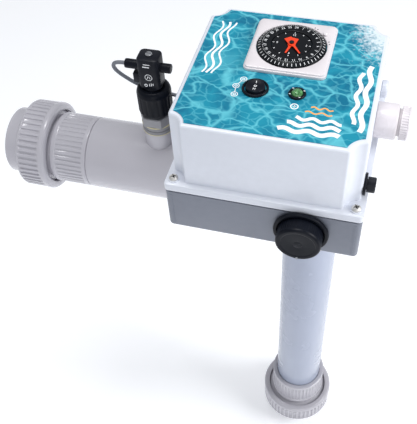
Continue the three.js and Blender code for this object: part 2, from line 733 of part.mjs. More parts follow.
/** Lid: scooped square shell on a flange, open below. */
function lidShell() {
  const bossTop = FLANGE_TOP + SCREW_BOSS;
  const bosses = screwPlaces.map(([x, y]) => discAt(SCREW_BOSS_R, FLANGE_TOP - 1, bossTop, x, y));
  const shell = joined(
    raised(notchedSquare(LID_SIDE, LID_NOTCH_R), FLANGE_BOTTOM, SHELL_TOP),
    raised(roundedSquare(LID_FLANGE_SIDE, CORNER_R), FLANGE_BOTTOM, FLANGE_TOP),
    ...bosses,
  );
  const cavitySide = LID_SIDE - 2 * WALL;
  const cavity = raised(
    notchedSquare(cavitySide, LID_NOTCH_R),
    FLANGE_BOTTOM - CUT,
    BOX_TOP - TOP_WALL - LABEL,
  );
  const top = BOX_TOP + CUT;
  const under = BOX_TOP - TOP_WALL - LABEL - CUT;
  const right = LID_SIDE / 2 - WALL - CUT;
  const through = right + WALL + 2 * CUT;
  return cut(
    shell,
    cavity,
    ...screwPlaces.map(([x, y]) => screwHole(FLANGE_BOTTOM - CUT, top, x, y)),
    ...panelHoles(under, top),
    barX(FUSE_BARREL_R + GAP, right, through, ...above(FUSE_AT, FLANGE_BOTTOM), COARSE),
    barX(OUTLET_NECK_R, right, through, ...above(OUTLET_AT, FLANGE_BOTTOM), COARSE),
    barX(PLUG_STEM_R + GAP, right, through, ...above(PLUG_AT, FLANGE_BOTTOM), COARSE),
  );
}

/** Clearance hole of a lid screw. */
const screwHole = (low, high, x, y) => discAt(SCREW_R + GAP, low, high, x, y, SMALL);

/** Cutters through the top for the time switch, the rocker switch and the lamp. */
const panelHoles = (low, high) => [
  block(TIMER_CASE_SIDE + 1, TIMER_CASE_SIDE + 1, low, high, ...TIMER_AT),
  discAt(ROCKER_BEZEL_R - 1, low, high, ...ROCKER_AT),
  discAt(LAMP_BEZEL_R - 1, low, high, ...LAMP_AT),
];

/** Printed panel that covers the lid's top, cut out for the controls. */
function frontLabel() {
  const outline = notchedSquare(LID_SIDE - 2 * LABEL_MARGIN, LID_NOTCH_R);
  return cut(raised(outline, SHELL_TOP, BOX_TOP), ...panelHoles(SHELL_TOP - CUT, BOX_TOP + CUT));
}

/** Base: open tray with corner posts for the lid's screws. */
function baseShell() {
  const inside = BASE_SIDE - 2 * WALL;
  const tray = cut(
    raised(roundedSquare(BASE_SIDE, CORNER_R), BASE_BOTTOM, BASE_TOP),
    raised(roundedSquare(inside, CORNER_R / 2), FLOOR_TOP, BASE_TOP + CUT),
  );
  const posts = screwPlaces.map(([x, y]) => discAt(POST_R, FLOOR_TOP - 1, BASE_TOP, x, y));
  const holeFloor = FLANGE_TOP + SCREW_BOSS - SCREW_LENGTH - CUT;
  const holes = screwPlaces.map(([x, y]) => screwHole(holeFloor, BASE_TOP + CUT, x, y));
  const wall = BASE_SIDE / 2;
  return cut(
    joined(tray, ...posts),
    ...holes,
    discAt(HEAD_STUB_R + GAP, BASE_BOTTOM - CUT, FLOOR_TOP + CUT, -BOX_X, -BOX_Y, FINE),
    barY(SHAFT_R + 1, -wall - CUT, -wall + WALL + CUT, ...above(KNOB_AT, BASE_BOTTOM)),
    barX(GLAND_STEM_R + GAP, -wall - CUT, -wall + WALL + CUT, ...above(GLAND_AT, BASE_BOTTOM), COARSE),
  );
}

/** Gasket between the base and the lid's flange. */
function lidGasket() {
  const outer = BASE_SIDE - 2 * GASKET_INSET;
  const low = BASE_TOP + GAP / 2;
  const high = low + GASKET;
  return cut(
    raised(roundedSquare(outer, CORNER_R), low, high),
    raised(roundedSquare(outer - 2 * GASKET_WIDTH, CORNER_R / 2), low - CUT, high + CUT),
  );
}

/** Cross-head screw, in its own frame with z = 0 under the head. */
function lidScrew() {
  const head = cappedDisc(SCREW_HEAD_R, 0, SCREW_HEAD, 1.4, COARSE);
  const body = joined(head, disc(SCREW_R, -SCREW_LENGTH, 1, SMALL));
  const slot = (width, depth) => block(width, depth, SCREW_HEAD / 2, SCREW_HEAD + CUT);
  return cut(body, slot(SCREW_HEAD_R, SLOT_WIDTH), slot(SLOT_WIDTH, SCREW_HEAD_R));
}

/** Shells, label, gasket and screws of the box. */
function addEnclosure(box) {
  piece(box, "base_shell", baseShell(), MID_GREY);
  piece(box, "lid_gasket", lidGasket(), RUBBER);
  piece(box, "lid_shell", lidShell(), LIGHT_GREY);
  piece(box, "front_label", frontLabel(), TEAL);
  screwPlaces.forEach(([x, y], i) => {
    const place = subGroup(box, [x, y, FLANGE_TOP + SCREW_BOSS + GAP]);
    piece(place, `lid_screw_${i + 1}`, lidScrew(), STEEL);
  });
}

// ---------------------------------------------------------------- time switch
/** White plate of two layers with a round window and a groove for the lever. */
function timerPlate() {
  const reach = LEVER_FOOT_R + GAP;
  const groove = cut(
    tube(LEVER_ORBIT_R + reach, LEVER_ORBIT_R - reach, PLATE_FACE - LEVER_SLOT, PLATE_FACE + CUT),
    ...grooveStops(),
  );
  return cut(
    joined(
      raised(roundedSquare(TIMER_SIDE, TIMER_CORNER_R), BOX_TOP, PLATE_FACE - TIMER_STEP),
      raised(roundedSquare(TIMER_SIDE - 2, TIMER_CORNER_R - 1), BOX_TOP, PLATE_FACE),
    ),
    disc(DIAL_R + RUNNING, BOX_TOP - CUT, PLATE_FACE + CUT),
    groove,
  );
}

/** Wedge that fills the turn from one angle to another, in degrees. */
function wedge(from, to) {
  const reach = 2 * TIMER_SIDE;
  const shape = new THREE.Shape();
  shape.moveTo(0, 0);
  for (let turn = from; turn <= to; turn += (to - from) / 6) {
    shape.lineTo(reach * Math.cos((turn * Math.PI) / 180), reach * Math.sin((turn * Math.PI) / 180));
  }
  return raised(shape, PLATE_FACE - LEVER_SLOT - CUT, PLATE_FACE + 2 * CUT);
}

/** What the lever's groove leaves out of a full turn. */
function grooveStops() {
  const start = LEVER_DEG - 4;
  const end = LEVER_DEG + LEVER_SWEEP_DEG + 4;
  const half = (end + start + 360) / 2;
  return [wedge(end, half), wedge(half, start + 360)];
}

/** Hour ring: a raised ring with a sloping edge. */
function dialRing() {
  const foot = PLATE_FACE - DIAL_SKIRT;
  const inner = CLOCK_R + RUNNING;
  return turned([
    [inner, foot],
    [DIAL_R, foot],
    [DIAL_R, PLATE_FACE],
    [DIAL_R - DIAL_SLOPE, DIAL_FACE],
    [inner, DIAL_FACE - GAP],
    [inner, foot],
  ]);
}

/** Case behind the panel, with the fixed clock face and the headed pin of the hands. */
function timerCase() {
  const caseTop = BOX_TOP - GAP;
  return joined(
    block(TIMER_CASE_SIDE, TIMER_CASE_SIDE, caseTop - TIMER_CASE_DEPTH, caseTop),
    disc(CLOCK_R, caseTop - 1, CLOCK_FACE),
    disc(POST_PIN_R, CLOCK_FACE - 1, PIN_TOP, SMALL),
    disc(PIN_HEAD_R, PIN_TOP - PIN_HEAD, PIN_TOP, SMALL),
  );
}

/** Hand with a broad tail and a narrow pointer, flat on z = 0 and pointing to +Y. */
function clockHand(length) {
  const half = HAND_WIDTH / 2;
  const shape = new THREE.Shape();
  shape.moveTo(-half, -HAND_TAIL);
  shape.lineTo(half, -HAND_TAIL);
  shape.lineTo(half, 1.5);
  shape.lineTo(1.1, 5);
  shape.lineTo(0.6, length);
  shape.lineTo(-0.6, length);
  shape.lineTo(-1.1, 5);
  shape.lineTo(-half, 1.5);
  return cut(raised(shape, 0, HAND), disc(POST_PIN_R + GAP, -CUT, CUT, SMALL));
}

/** Override lever: a foot in the groove under a round knob. */
function overrideLever() {
  const foot = disc(LEVER_FOOT_R, PLATE_FACE - LEVER_SLOT + GAP, PLATE_FACE + 1, SMALL);
  const knob = cappedDisc(LEVER_KNOB_R, PLATE_FACE + GAP, PLATE_FACE + LEVER_KNOB, EDGE, SMALL);
  return foot.add(knob);
}

/** The time switch, centred on its dial. */
function addTimer(box) {
  const timer = subGroup(box, [...TIMER_AT, 0]);
  piece(timer, "timer_plate", timerPlate(), WHITE);
  piece(timer, "timer_case", timerCase(), BLACK);
  piece(timer, "timer_hour_ring", dialRing(), BLACK);
  const hour = subGroup(timer, [0, 0, HOUR_HAND_Z], [0, 0, (-HOUR_HAND_DEG * Math.PI) / 180]);
  piece(hour, "timer_hour_hand", clockHand(HAND_LENGTH - 1), ORANGE);
  const minuteTurn = (-MINUTE_HAND_DEG * Math.PI) / 180;
  const minute = subGroup(timer, [0, 0, MINUTE_HAND_Z], [0, 0, minuteTurn]);
  piece(minute, "timer_minute_hand", clockHand(HAND_LENGTH + 1), ORANGE);
  const turn = (LEVER_DEG * Math.PI) / 180;
  const leverAt = [LEVER_ORBIT_R * Math.cos(turn), LEVER_ORBIT_R * Math.sin(turn), 0];
  piece(subGroup(timer, leverAt), "timer_override_lever", overrideLever(), WHITE);
}

// ---------------------------------------------------------------- switch and lamp
/** Collar on the panel with a barrel below it. */
function panelBezel(flangeR, bore, depth) {
  return cut(
    joined(
      cappedDisc(flangeR, BOX_TOP + GAP, BOX_TOP + BEZEL, EDGE, COARSE),
      disc(flangeR - 1 - GAP, BOX_TOP - depth, BOX_TOP + 1, COARSE),
    ),
    disc(bore, BOX_TOP - depth + WALL, BOX_TOP + BEZEL + CUT, COARSE),
  );
}

/** Rocker: a ball cut flat below and to a shallow valley on top, tilting about X. */
function rocker() {
  const pivot = BOX_TOP - ROCKER_PIVOT;
  const ball = solidOf(new THREE.SphereGeometry(ROCKER_R, COARSE, SMALL).translate(0, 0, pivot));
  const [low, high] = ROCKER_VALLEY;
  const valley = new THREE.Shape();
  valley.moveTo(-ROCKER_R, pivot - ROCKER_HEEL);
  valley.lineTo(ROCKER_R, pivot - ROCKER_HEEL);
  valley.lineTo(ROCKER_R, pivot + high);
  valley.lineTo(0, pivot + low);
  valley.lineTo(-ROCKER_R, pivot + high);
  const settings = { depth: 2 * ROCKER_R, bevelEnabled: false };
  const bar = new THREE.ExtrudeGeometry(valley, settings).translate(0, 0, -ROCKER_R);
  // The outline's x becomes Y, its y becomes Z, and its depth lies along X.
  const turnedBar = bar.rotateX(Math.PI / 2).rotateZ(Math.PI / 2);
  return ball.intersect(solidOf(turnedBar));
}

function addSwitchAndLamp(box) {
  const rockerGroup = subGroup(box, [...ROCKER_AT, 0]);
  const rockerBezel = panelBezel(ROCKER_BEZEL_R, ROCKER_R + RUNNING, ROCKER_DEPTH);
  piece(rockerGroup, "rocker_bezel", rockerBezel, BLACK);
  piece(rockerGroup, "rocker", rocker(), BLACK);
  const lampGroup = subGroup(box, [...LAMP_AT, 0]);
  piece(lampGroup, "lamp_bezel", panelBezel(LAMP_BEZEL_R, LENS_R + GAP, LAMP_DEPTH), BLACK);
  const lens = cappedDisc(LENS_R, BOX_TOP - LENS_SINK, BOX_TOP + LENS_RISE, 2 * EDGE, SMALL);
  piece(lampGroup, "lamp_lens", lens, GREEN);
}

// ---------------------------------------------------------------- output knob
/** The knob's dish, the knob and its potentiometer, along the group's +Z out of the wall. */
function addOutputKnob(box) {
  const wallY = -BASE_SIDE / 2;
  const place = [KNOB_AT[0], wallY, BASE_BOTTOM + KNOB_AT[1]];
  const group = subGroup(box, place, [Math.PI / 2, 0, 0]);
  const dishTop = KNOB_STANDOFF + KNOB_DISH;
  const dish = cut(
    joined(
      disc(KNOB_WASHER_R, GAP, KNOB_STANDOFF + 1),
      cappedDisc(KNOB_R + KNOB_LIP, KNOB_STANDOFF, dishTop, EDGE),
    ),
    disc(KNOB_R + RUNNING, KNOB_STANDOFF + KNOB_DISH_FLOOR, dishTop + CUT),
    disc(SHAFT_R + RUNNING, 0, dishTop),
  );
  piece(group, "knob_dish", dish, BLACK);
  const knobFoot = KNOB_STANDOFF + KNOB_DISH_FLOOR + GAP;
  const knob = cut(
    cappedDisc(KNOB_R, knobFoot, KNOB_LENGTH, 2 * EDGE),
    disc(SHAFT_R + GAP, 0, KNOB_LENGTH - KNOB_FACE),
    block(...KNOB_MARK, KNOB_LENGTH - EDGE, KNOB_LENGTH + CUT, 0, KNOB_MARK[1] / 2 + 1 - KNOB_R),
  );
  piece(group, "output_knob", knob, BLACK);
  const pot = joined(
    disc(POT_R, -WALL - GAP - POT_DEPTH, -WALL - GAP, COARSE),
    disc(SHAFT_R, -WALL - 1, KNOB_LENGTH - KNOB_FACE - GAP, SMALL),
  );
  piece(group, "potentiometer", pot, MID_GREY);
}

// ---------------------------------------------------------------- right wall
/** A group on the lid's right wall whose +Z points out of it. */
const onRightWall = (box, [y, height]) =>
  subGroup(box, [LID_SIDE / 2, y, FLANGE_BOTTOM + height], [0, Math.PI / 2, 0]);

/** Panel fuse holder with its turning cap and the cartridge that comes out with it. */
function addFuse(box) {
  const group = onRightWall(box, FUSE_AT);
  const holder = cut(
    joined(
      cappedDisc(FUSE_BARREL_R + FUSE_FLANGE[0], GAP, FUSE_FLANGE[1], EDGE, COARSE),
      disc(FUSE_BARREL_R, -FUSE_BARREL, 1, COARSE),
    ),
    disc(FUSE_BORE_R, CUT - FUSE_BARREL, FUSE_FLANGE[1] + CUT, COARSE),
  );
  piece(group, "fuse_holder", holder, BLACK);
  const capFoot = FUSE_FLANGE[1] + GAP;
  const cap = cut(
    joined(
      cappedDisc(FUSE_CAP_R, capFoot, FUSE_REACH, EDGE, COARSE),
      disc(FUSE_BORE_R - RUNNING, -FUSE_PLUG, capFoot + 1, COARSE),
    ),
    block(FUSE_CAP_R, 2 * EDGE, FUSE_REACH - EDGE, FUSE_REACH + CUT),
  );
  piece(group, "fuse_cap", cap, BLACK);
  const top = -FUSE_PLUG - GAP;
  const bottom = top - FUSE_LENGTH;
  const cartridge = joined(
    disc(FUSE_R, bottom, top, SMALL),
    disc(FUSE_R + GAP, bottom, bottom + FUSE_END, SMALL),
    disc(FUSE_R + GAP, top - FUSE_END, top, SMALL),
  );
  piece(group, "fuse_cartridge", cartridge, STEEL);
}

/** Large outlet fitting: a body through the wall, a sealing disc and its screw cap. */
function addOutlet(box) {
  const group = onRightWall(box, OUTLET_AT);
  const neckTop = OUTLET_LENGTH + OUTLET_NECK;
  const body = cut(
    joined(
      cappedDisc(OUTLET_NECK_R + OUTLET_SHOULDER, GAP, OUTLET_LENGTH, EDGE),
      disc(OUTLET_NECK_R - GAP, -OUTLET_STEM, neckTop, COARSE),
    ),
    disc(OUTLET_NECK_R - WALL, -OUTLET_STEM - CUT, neckTop + CUT, COARSE),
  );
  piece(group, "outlet_body", body, WHITE);
  const sealFoot = neckTop + GAP;
  const sealTop = sealFoot + OUTLET_SEAL;
  const seal = disc(OUTLET_NECK_R - GAP, sealFoot, sealTop, COARSE);
  piece(group, "outlet_seal", seal, RUBBER);
  const capFoot = OUTLET_LENGTH + OUTLET_GROOVE;
  const capFloor = sealTop + GAP;
  const cap = cut(
    cappedDisc(OUTLET_NECK_R + OUTLET_CAP_OUT, capFoot, capFloor + OUTLET_CAP_WALL, EDGE),
    disc(OUTLET_NECK_R + GAP, capFoot - CUT, capFloor),
    disc(OUTLET_NECK_R - WALL - 1, capFoot, capFloor + 2 * CUT, COARSE),
  );
  piece(group, "outlet_cap", cap, WHITE);
}

/** Blanking plug in the spare hole further back. */
function addBlankingPlug(box) {
  const plug = joined(
    cappedDisc(PLUG_STEM_R + PLUG_HEAD, GAP, PLUG_REACH, EDGE, COARSE),
    disc(PLUG_STEM_R, -PLUG_STEM, 1, COARSE),
  );
  piece(onRightWall(box, PLUG_AT), "blanking_plug", plug, LIGHT_GREY);
}

// ---------------------------------------------------------------- electrics in the box
function addElectrics(box) {
  const low = FLOOR_TOP + GAP;
  const [width, depth, height] = TRANSFORMER;
  const core = joined(
    block(width, depth / 2, low, low + height, ...TRANSFORMER_AT),
    block(width * COIL_SHARE, depth, low + COIL_INSET, low + height - COIL_INSET, ...TRANSFORMER_AT),
  );
  piece(box, "transformer", core, STEEL);
  const boardZ = FLOOR_TOP + BOARD_LIFT;
  const board = block(BOARD[0], BOARD[1], boardZ, boardZ + BOARD[2], ...BOARD_AT);
  const feet = CORNERS.map(([x, y]) => {
    const footX = BOARD_AT[0] + x * (BOARD[0] / 2 - BOARD_FOOT_INSET);
    const footY = BOARD_AT[1] + y * (BOARD[1] / 2 - BOARD_FOOT_INSET);
    return discAt(BOARD_FOOT_R, low, boardZ + 1, footX, footY, SMALL);
  });
  piece(box, "circuit_board", joined(board, ...feet), BOARD_GREEN);
}

// ---------------------------------------------------------------- flow switch
/** Boss glued on the run pipe. */
function flowBoss() {
  const blank = disc(BOSS_R, RUN_Z + RUN_R - RUN_WALL, BOSS_TOP, COARSE);
  return cut(blank, disc(FLOW_HOLE_R, RUN_Z, BOSS_TOP + CUT, COARSE));
}

/** Ring and hexagon that screw into the boss. */
function flowAdapter() {
  const low = BOSS_TOP + GAP;
  const waist = low + ADAPTER_RING / 2;
  return cut(
    joined(
      turned(
        [
          [0, low],
          [ADAPTER_R, low],
          [ADAPTER_R, waist - 2 * EDGE],
          [ADAPTER_R - EDGE, waist - EDGE],
          [ADAPTER_R - EDGE, waist],
          [ADAPTER_R, waist + EDGE],
          [ADAPTER_R, low + ADAPTER_RING],
          [0, low + ADAPTER_RING],
        ],
        COARSE,
      ),
      raised(hexagon(ADAPTER_FLATS), low + ADAPTER_RING - 1, ADAPTER_TOP),
      disc(FLOW_FLANGE_R - RUNNING, ADAPTER_TOP - 1, STUB_TOP, COARSE),
    ),
    disc(FLOW_HOLE_R, low - CUT, STUB_TOP + CUT, COARSE),
  );
}

/** Smooth nut with sloping shoulders. */
function flowNut() {
  const low = ADAPTER_TOP + GAP;
  const height = FLOW_NUT_TOP - low;
  return cut(
    turned(
      [
        [0, low],
        [FLOW_NUT_R - FLOW_SHOULDER, low],
        [FLOW_NUT_R, low + height / 3],
        [FLOW_NUT_R, low + 0.7 * height],
        [FLOW_NUT_R - 2 * EDGE, FLOW_NUT_TOP - FLOW_SHOULDER],
        [FLOW_STEM_R + FLOW_SHOULDER, FLOW_NUT_TOP],
        [0, FLOW_NUT_TOP],
      ],
      COARSE,
    ),
    disc(FLOW_FLANGE_R, low - CUT, FLOW_NUT_TOP - FLOW_LIP, COARSE),
    disc(FLOW_STEM_R + RUNNING, low, FLOW_NUT_TOP + CUT, COARSE),
  );
}

/** Switch block on its stem, with the side lug and the cross bore for the reed bar. */
function flowBody() {
  const [width, depth] = FLOW_BODY;
  const shoulder = FLOW_SHOULDER_Z;
  const stem = joined(
    disc(FLOW_STEM_R, PADDLE_PIVOT_Z - FORK_BELOW, shoulder + 1, COARSE),
    disc(FLOW_FLANGE_R - RUNNING, STUB_TOP + GAP, SLIP_RING_FOOT - GAP, COARSE),
  );
  const square = raised(roundedSquare(width, FLOW_CORNER_R), shoulder, FLOW_TOP);
  const head = square.intersect(block(width, depth, shoulder - 1, FLOW_TOP + 1));
  const [lugWidth, lugDepth, lugHeight] = LUG;
  const lugX = 1 - (width + lugWidth) / 2;
  const lug = block(lugWidth, lugDepth, LUG_Z - lugHeight / 2, LUG_Z + lugHeight / 2, lugX);
  const forkLow = PADDLE_PIVOT_Z - FORK_BELOW - 1;
  return cut(
    joined(stem, head, lug),
    barX(REED_R + GAP, -REED_LENGTH, REED_LENGTH, 0, REED_Z, COARSE),
    block(2 * FLOW_STEM_R, FORK_WIDTH, forkLow, PADDLE_PIVOT_Z + FORK_ABOVE),
    barY(PADDLE_PIN_R + GAP, -BOSS_R, BOSS_R, 0, PADDLE_PIVOT_Z, SMALL),
    disc(HEAD_SCREW_R + GAP, FLOW_TOP - HEAD_SCREW - 1, FLOW_TOP + CUT, SMALL),
  );
}

/** Paddle: an arm on the pin and a blade that hangs in the water. */
function paddle() {
  const half = PADDLE_ARM[1] / 2;
  const arm = joined(
    block(...PADDLE_ARM, PADDLE_PIVOT_Z - 2 * BLADE_DROP, PADDLE_PIVOT_Z),
    barY(PADDLE_EYE_R, -half, half, 0, PADDLE_PIVOT_Z, SMALL),
    block(...PADDLE, RUN_Z - PADDLE_DIP, PADDLE_PIVOT_Z - BLADE_DROP),
  );
  return cut(arm, barY(PADDLE_PIN_R + GAP, -FORK_WIDTH, FORK_WIDTH, 0, PADDLE_PIVOT_Z, SMALL));
}

/** Head screw with a slot, on top of the switch block. */
function flowScrew() {
  const [radius, height] = HEAD_SCREW_CAP;
  const foot = FLOW_TOP + GAP;
  const head = cappedDisc(radius, foot, foot + height, EDGE, SMALL);
  const body = head.add(disc(HEAD_SCREW_R, FLOW_TOP - HEAD_SCREW, foot + 1, SMALL));
  return body.subtract(block(1.5 * radius, SLOT_WIDTH, foot + height / 2, foot + height + CUT));
}

/** The flow switch, on the run's axis line at FLOW_X. */
function addFlowSwitch(root) {
  const group = subGroup(root, [FLOW_X, 0, 0]);
  piece(group, "flow_boss", cut(flowBoss(), pipeAt(0, 2 * BOSS_R)), PIPE_GREY);
  piece(group, "flow_adapter", flowAdapter(), MID_GREY);
  piece(group, "flow_nut", flowNut(), BLACK);
  const [ringOuter, ringInner] = [FLOW_FLANGE_R - RUNNING, FLOW_STEM_R + RUNNING];
  const slipRing = tube(ringOuter, ringInner, SLIP_RING_FOOT, SLIP_RING_FOOT + SLIP_RING, COARSE);
  piece(group, "flow_slip_ring", slipRing, RUBBER);
  piece(group, "flow_body", flowBody(), BLACK);
  const reedFrom = REED_MIDDLE - FLOW_X - REED_LENGTH / 2;
  const reedBar = barX(REED_R, reedFrom, reedFrom + REED_LENGTH, 0, REED_Z, COARSE);
  piece(group, "reed_bar", reedBar, BLACK);
  piece(group, "flow_head_screw", flowScrew(), STEEL);
  piece(group, "flow_paddle", paddle(), STEEL);
  const pinReach = FLOW_STEM_R - CUT;
  const pin = barY(PADDLE_PIN_R, -pinReach, pinReach, 0, PADDLE_PIVOT_Z, SMALL);
  piece(group, "paddle_pin", pin, STEEL);
}

/** Gland on the base's left wall, its +Z out of the wall. */
function addSensorGland(box) {
  const place = [-BASE_SIDE / 2, ...above(GLAND_AT, BASE_BOTTOM)];
  const group = subGroup(box, place, [0, -Math.PI / 2, 0]);
  const gland = joined(
    raised(hexagon(2 * GLAND_R), GAP, GLAND_HEX),
    cappedDisc(GLAND_R - 1, GLAND_HEX - 1, GLAND_REACH, WALL, COARSE),
    disc(GLAND_STEM_R, -PLUG_STEM, 1, COARSE),
  );
  piece(group, "sensor_gland", gland, BLACK);
}

/** Sensor cable along its route. */
function addCable(root) {
  const points = CABLE_ROUTE.map((point) => new THREE.Vector3(...point));
  const path = new THREE.CatmullRomCurve3(points);
  const section = new THREE.Shape();
  for (let i = 0; i < 8; i++) {
    const turn = (i * Math.PI) / 4;
    const corner = [CABLE_R * Math.cos(turn), CABLE_R * Math.sin(turn)];
    if (i === 0) section.moveTo(...corner);
    else section.lineTo(...corner);
  }
  const settings = { steps: 26, extrudePath: path, bevelEnabled: false };
  piece(root, "sensor_cable", solidOf(new THREE.ExtrudeGeometry(section, settings)), CABLE_GREY);
}

// ---------------------------------------------------------------- assembly
const root = new THREE.Group();
addCell(root);
addUnion(subGroup(root, [0, 0, LOWER_JOINT], [Math.PI, 0, 0]), "lower", socketCollar());
addUnion(subGroup(root, [RUN_LEFT, 0, RUN_Z], [0, -Math.PI / 2, 0]), "left", spigotCollar());
addClamp(root);
const box = subGroup(root, [BOX_X, BOX_Y, 0]);
addEnclosure(box);
addTimer(box);
addSwitchAndLamp(box);
addOutputKnob(box);
addFuse(box);
addOutlet(box);
addBlankingPlug(box);
addElectrics(box);
addFlowSwitch(root);
addSensorGland(box);
addCable(root);

export default root;
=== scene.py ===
"""Salt chlorine generator: control box, electrode cell, pipe unions and flow switch.

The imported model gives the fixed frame. Each class below builds one sub-assembly as detailed
meshes over its solids, dresses it in procedural finishes, and lets it ride on the right body.
Sizes are in millimetres in the frame's own axes; the meshes are written in metres.
"""
import logging
import math
from dataclasses import dataclass, field
from enum import Enum
from typing import Sequence

import bmesh
import bpy
from mathutils import Matrix, Vector


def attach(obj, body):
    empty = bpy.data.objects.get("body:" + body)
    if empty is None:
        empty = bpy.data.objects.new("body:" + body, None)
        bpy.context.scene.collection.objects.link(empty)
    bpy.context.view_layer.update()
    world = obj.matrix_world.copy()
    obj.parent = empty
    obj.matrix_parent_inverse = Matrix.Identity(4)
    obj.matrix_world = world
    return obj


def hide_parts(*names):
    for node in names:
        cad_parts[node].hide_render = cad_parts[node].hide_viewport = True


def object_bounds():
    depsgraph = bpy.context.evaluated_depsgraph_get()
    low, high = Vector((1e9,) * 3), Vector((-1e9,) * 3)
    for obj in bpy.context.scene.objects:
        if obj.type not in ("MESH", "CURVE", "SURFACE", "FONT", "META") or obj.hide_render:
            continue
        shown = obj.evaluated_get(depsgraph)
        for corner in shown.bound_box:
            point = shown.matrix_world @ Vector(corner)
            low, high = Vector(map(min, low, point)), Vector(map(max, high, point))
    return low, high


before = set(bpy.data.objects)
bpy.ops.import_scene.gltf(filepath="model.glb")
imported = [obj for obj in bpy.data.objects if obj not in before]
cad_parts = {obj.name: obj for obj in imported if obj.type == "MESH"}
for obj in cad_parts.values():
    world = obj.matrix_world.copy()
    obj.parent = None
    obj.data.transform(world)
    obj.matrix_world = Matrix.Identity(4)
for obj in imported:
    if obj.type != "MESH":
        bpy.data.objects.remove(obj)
CAD_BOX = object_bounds()

LOG = logging.getLogger("chlorinator")
MM = 0.001
CELL = "cell"
Profile = list[tuple[float, ...]]
Rgb = tuple[int, int, int]

# Places that several sub-assemblies share.
BOX_CENTRE = (-30.0, -47.0)
PANEL_TOP = 698.5
RUN_HEIGHT = 507.0
RUN_LEFT_END = -251.5

# Thickness of a printed mark, and the radius at which a turned profile meets its axis.
PRINT = 0.05
AXIS = 0.01

# Edges steeper than these, in degrees, stay sharp on a made piece and on a solid of the frame,
# or are rounded by a bevel.
SHARP_PIECE = 38.0
SHARP_SOLID = 32.0
SHARP_FACETS = 20.0
ROUNDED_EDGE = 40.0

# Corners of a square, anticlockwise from the front left.
CORNERS = ((-1, -1), (1, -1), (1, 1), (-1, 1))


# ---------------------------------------------------------------- node groups
class NodeMaker:
    """Adds nodes to a node tree."""

    tree: bpy.types.NodeTree

    def node(self, kind: str, **settings: object) -> bpy.types.Node:
        """Adds a node to the tree.

        Args:
            kind: Blender's name of the node type.
            settings: attributes to set on it.

        Returns:
            The node.
        """
        node = self.tree.nodes.new(kind)
        for key, value in settings.items():
            setattr(node, key, value)
        return node

    def link(self, source: bpy.types.NodeSocket, target: bpy.types.NodeSocket) -> None:
        """Joins two sockets."""
        self.tree.links.new(source, target)

    def noise(self, scale: float, detail: float, distortion: float = 0.0) -> bpy.types.Node:
        """Noise over the object's own coordinates.

        Args:
            scale: cells per metre.
            detail: octaves.
            distortion: how far the pattern is stirred.

        Returns:
            The noise node.
        """
        coords = self.node("ShaderNodeTexCoord")
        noise = self.node("ShaderNodeTexNoise")
        noise.inputs["Scale"].default_value = scale
        noise.inputs["Detail"].default_value = detail
        noise.inputs["Distortion"].default_value = distortion
        self.link(coords.outputs["Object"], noise.inputs["Vector"])
        return noise

    def window(
        self, value: bpy.types.NodeSocket, low: float, high: float = 1.0
    ) -> bpy.types.Node:
        """Maps the values from low to high onto 0 to 1.

        Args:
            value: the socket that gives the value.
            low: what becomes 0.
            high: what becomes 1.

        Returns:
            The node, whose Result is the mapped value.
        """
        node = self.node("ShaderNodeMapRange")
        node.inputs["From Min"].default_value = low
        node.inputs["From Max"].default_value = high
        self.link(value, node.inputs["Value"])
        return node

    def combined(
        self, operation: str, first: bpy.types.NodeSocket, second: bpy.types.NodeSocket
    ) -> bpy.types.NodeSocket:
        """The sum or product of two values.

        Args:
            operation: ADD or MULTIPLY.
            first: one value's socket.
            second: the other's.

        Returns:
            The result's socket.
        """
        node = self.node("ShaderNodeMath", operation=operation)
        self.link(first, node.inputs[0])
        self.link(second, node.inputs[1])
        return node.outputs[0]


class Effect(NodeMaker):
    """A shader node group that is built once and placed in many materials."""

    made: dict[str, bpy.types.NodeTree] = {}

    def __init__(self, name: str, inputs: dict[str, float], outputs: Sequence[str]) -> None:
        """Starts an empty group.

        Args:
            name: the group's name.
            inputs: each input's label and its default value.
            outputs: the labels of its outputs, all of them values.
        """
        self.tree = bpy.data.node_groups.new(name, "ShaderNodeTree")
        rims = self.tree.interface
        for label, value in inputs.items():
            socket = rims.new_socket(label, in_out="INPUT", socket_type="NodeSocketFloat")
            socket.default_value = value
        for label in outputs:
            rims.new_socket(label, in_out="OUTPUT", socket_type="NodeSocketFloat")
        self.entry = self.tree.nodes.new("NodeGroupInput")
        self.exit = self.tree.nodes.new("NodeGroupOutput")
        Effect.made[name] = self.tree


def build_grain() -> None:
    """Group for the fine skin of moulded plastic: its height and a slow mottle."""
    group = Effect("moulded_grain", {"Fineness": 900.0}, ["Height", "Mottle"])
    fine = group.noise(900.0, 4.0)
    group.link(group.entry.outputs["Fineness"], fine.inputs["Scale"])
    slow = group.noise(16.0, 5.0)
    mottle = group.window(slow.outputs["Fac"], 0.35, 0.65)
    group.link(fine.outputs["Fac"], group.exit.inputs["Height"])
    group.link(mottle.outputs["Result"], group.exit.inputs["Mottle"])


def build_wear() -> None:
    """Group for rubbed edges: a mask on what stands out, broken up by noise."""
    flat = 0.51
    group = Effect("edge_wear", {"Reach": 0.06}, ["Mask"])
    shape = group.node("ShaderNodeNewGeometry")
    top = group.node("ShaderNodeMath", operation="ADD")
    top.inputs[1].default_value = flat
    group.link(group.entry.outputs["Reach"], top.inputs[0])
    edge = group.window(shape.outputs["Pointiness"], flat)
    group.link(top.outputs[0], edge.inputs["From Max"])
    worn = group.noise(140.0, 3.0)
    mask = group.combined("MULTIPLY", edge.outputs["Result"], worn.outputs["Fac"])
    group.link(mask, group.exit.inputs["Mask"])


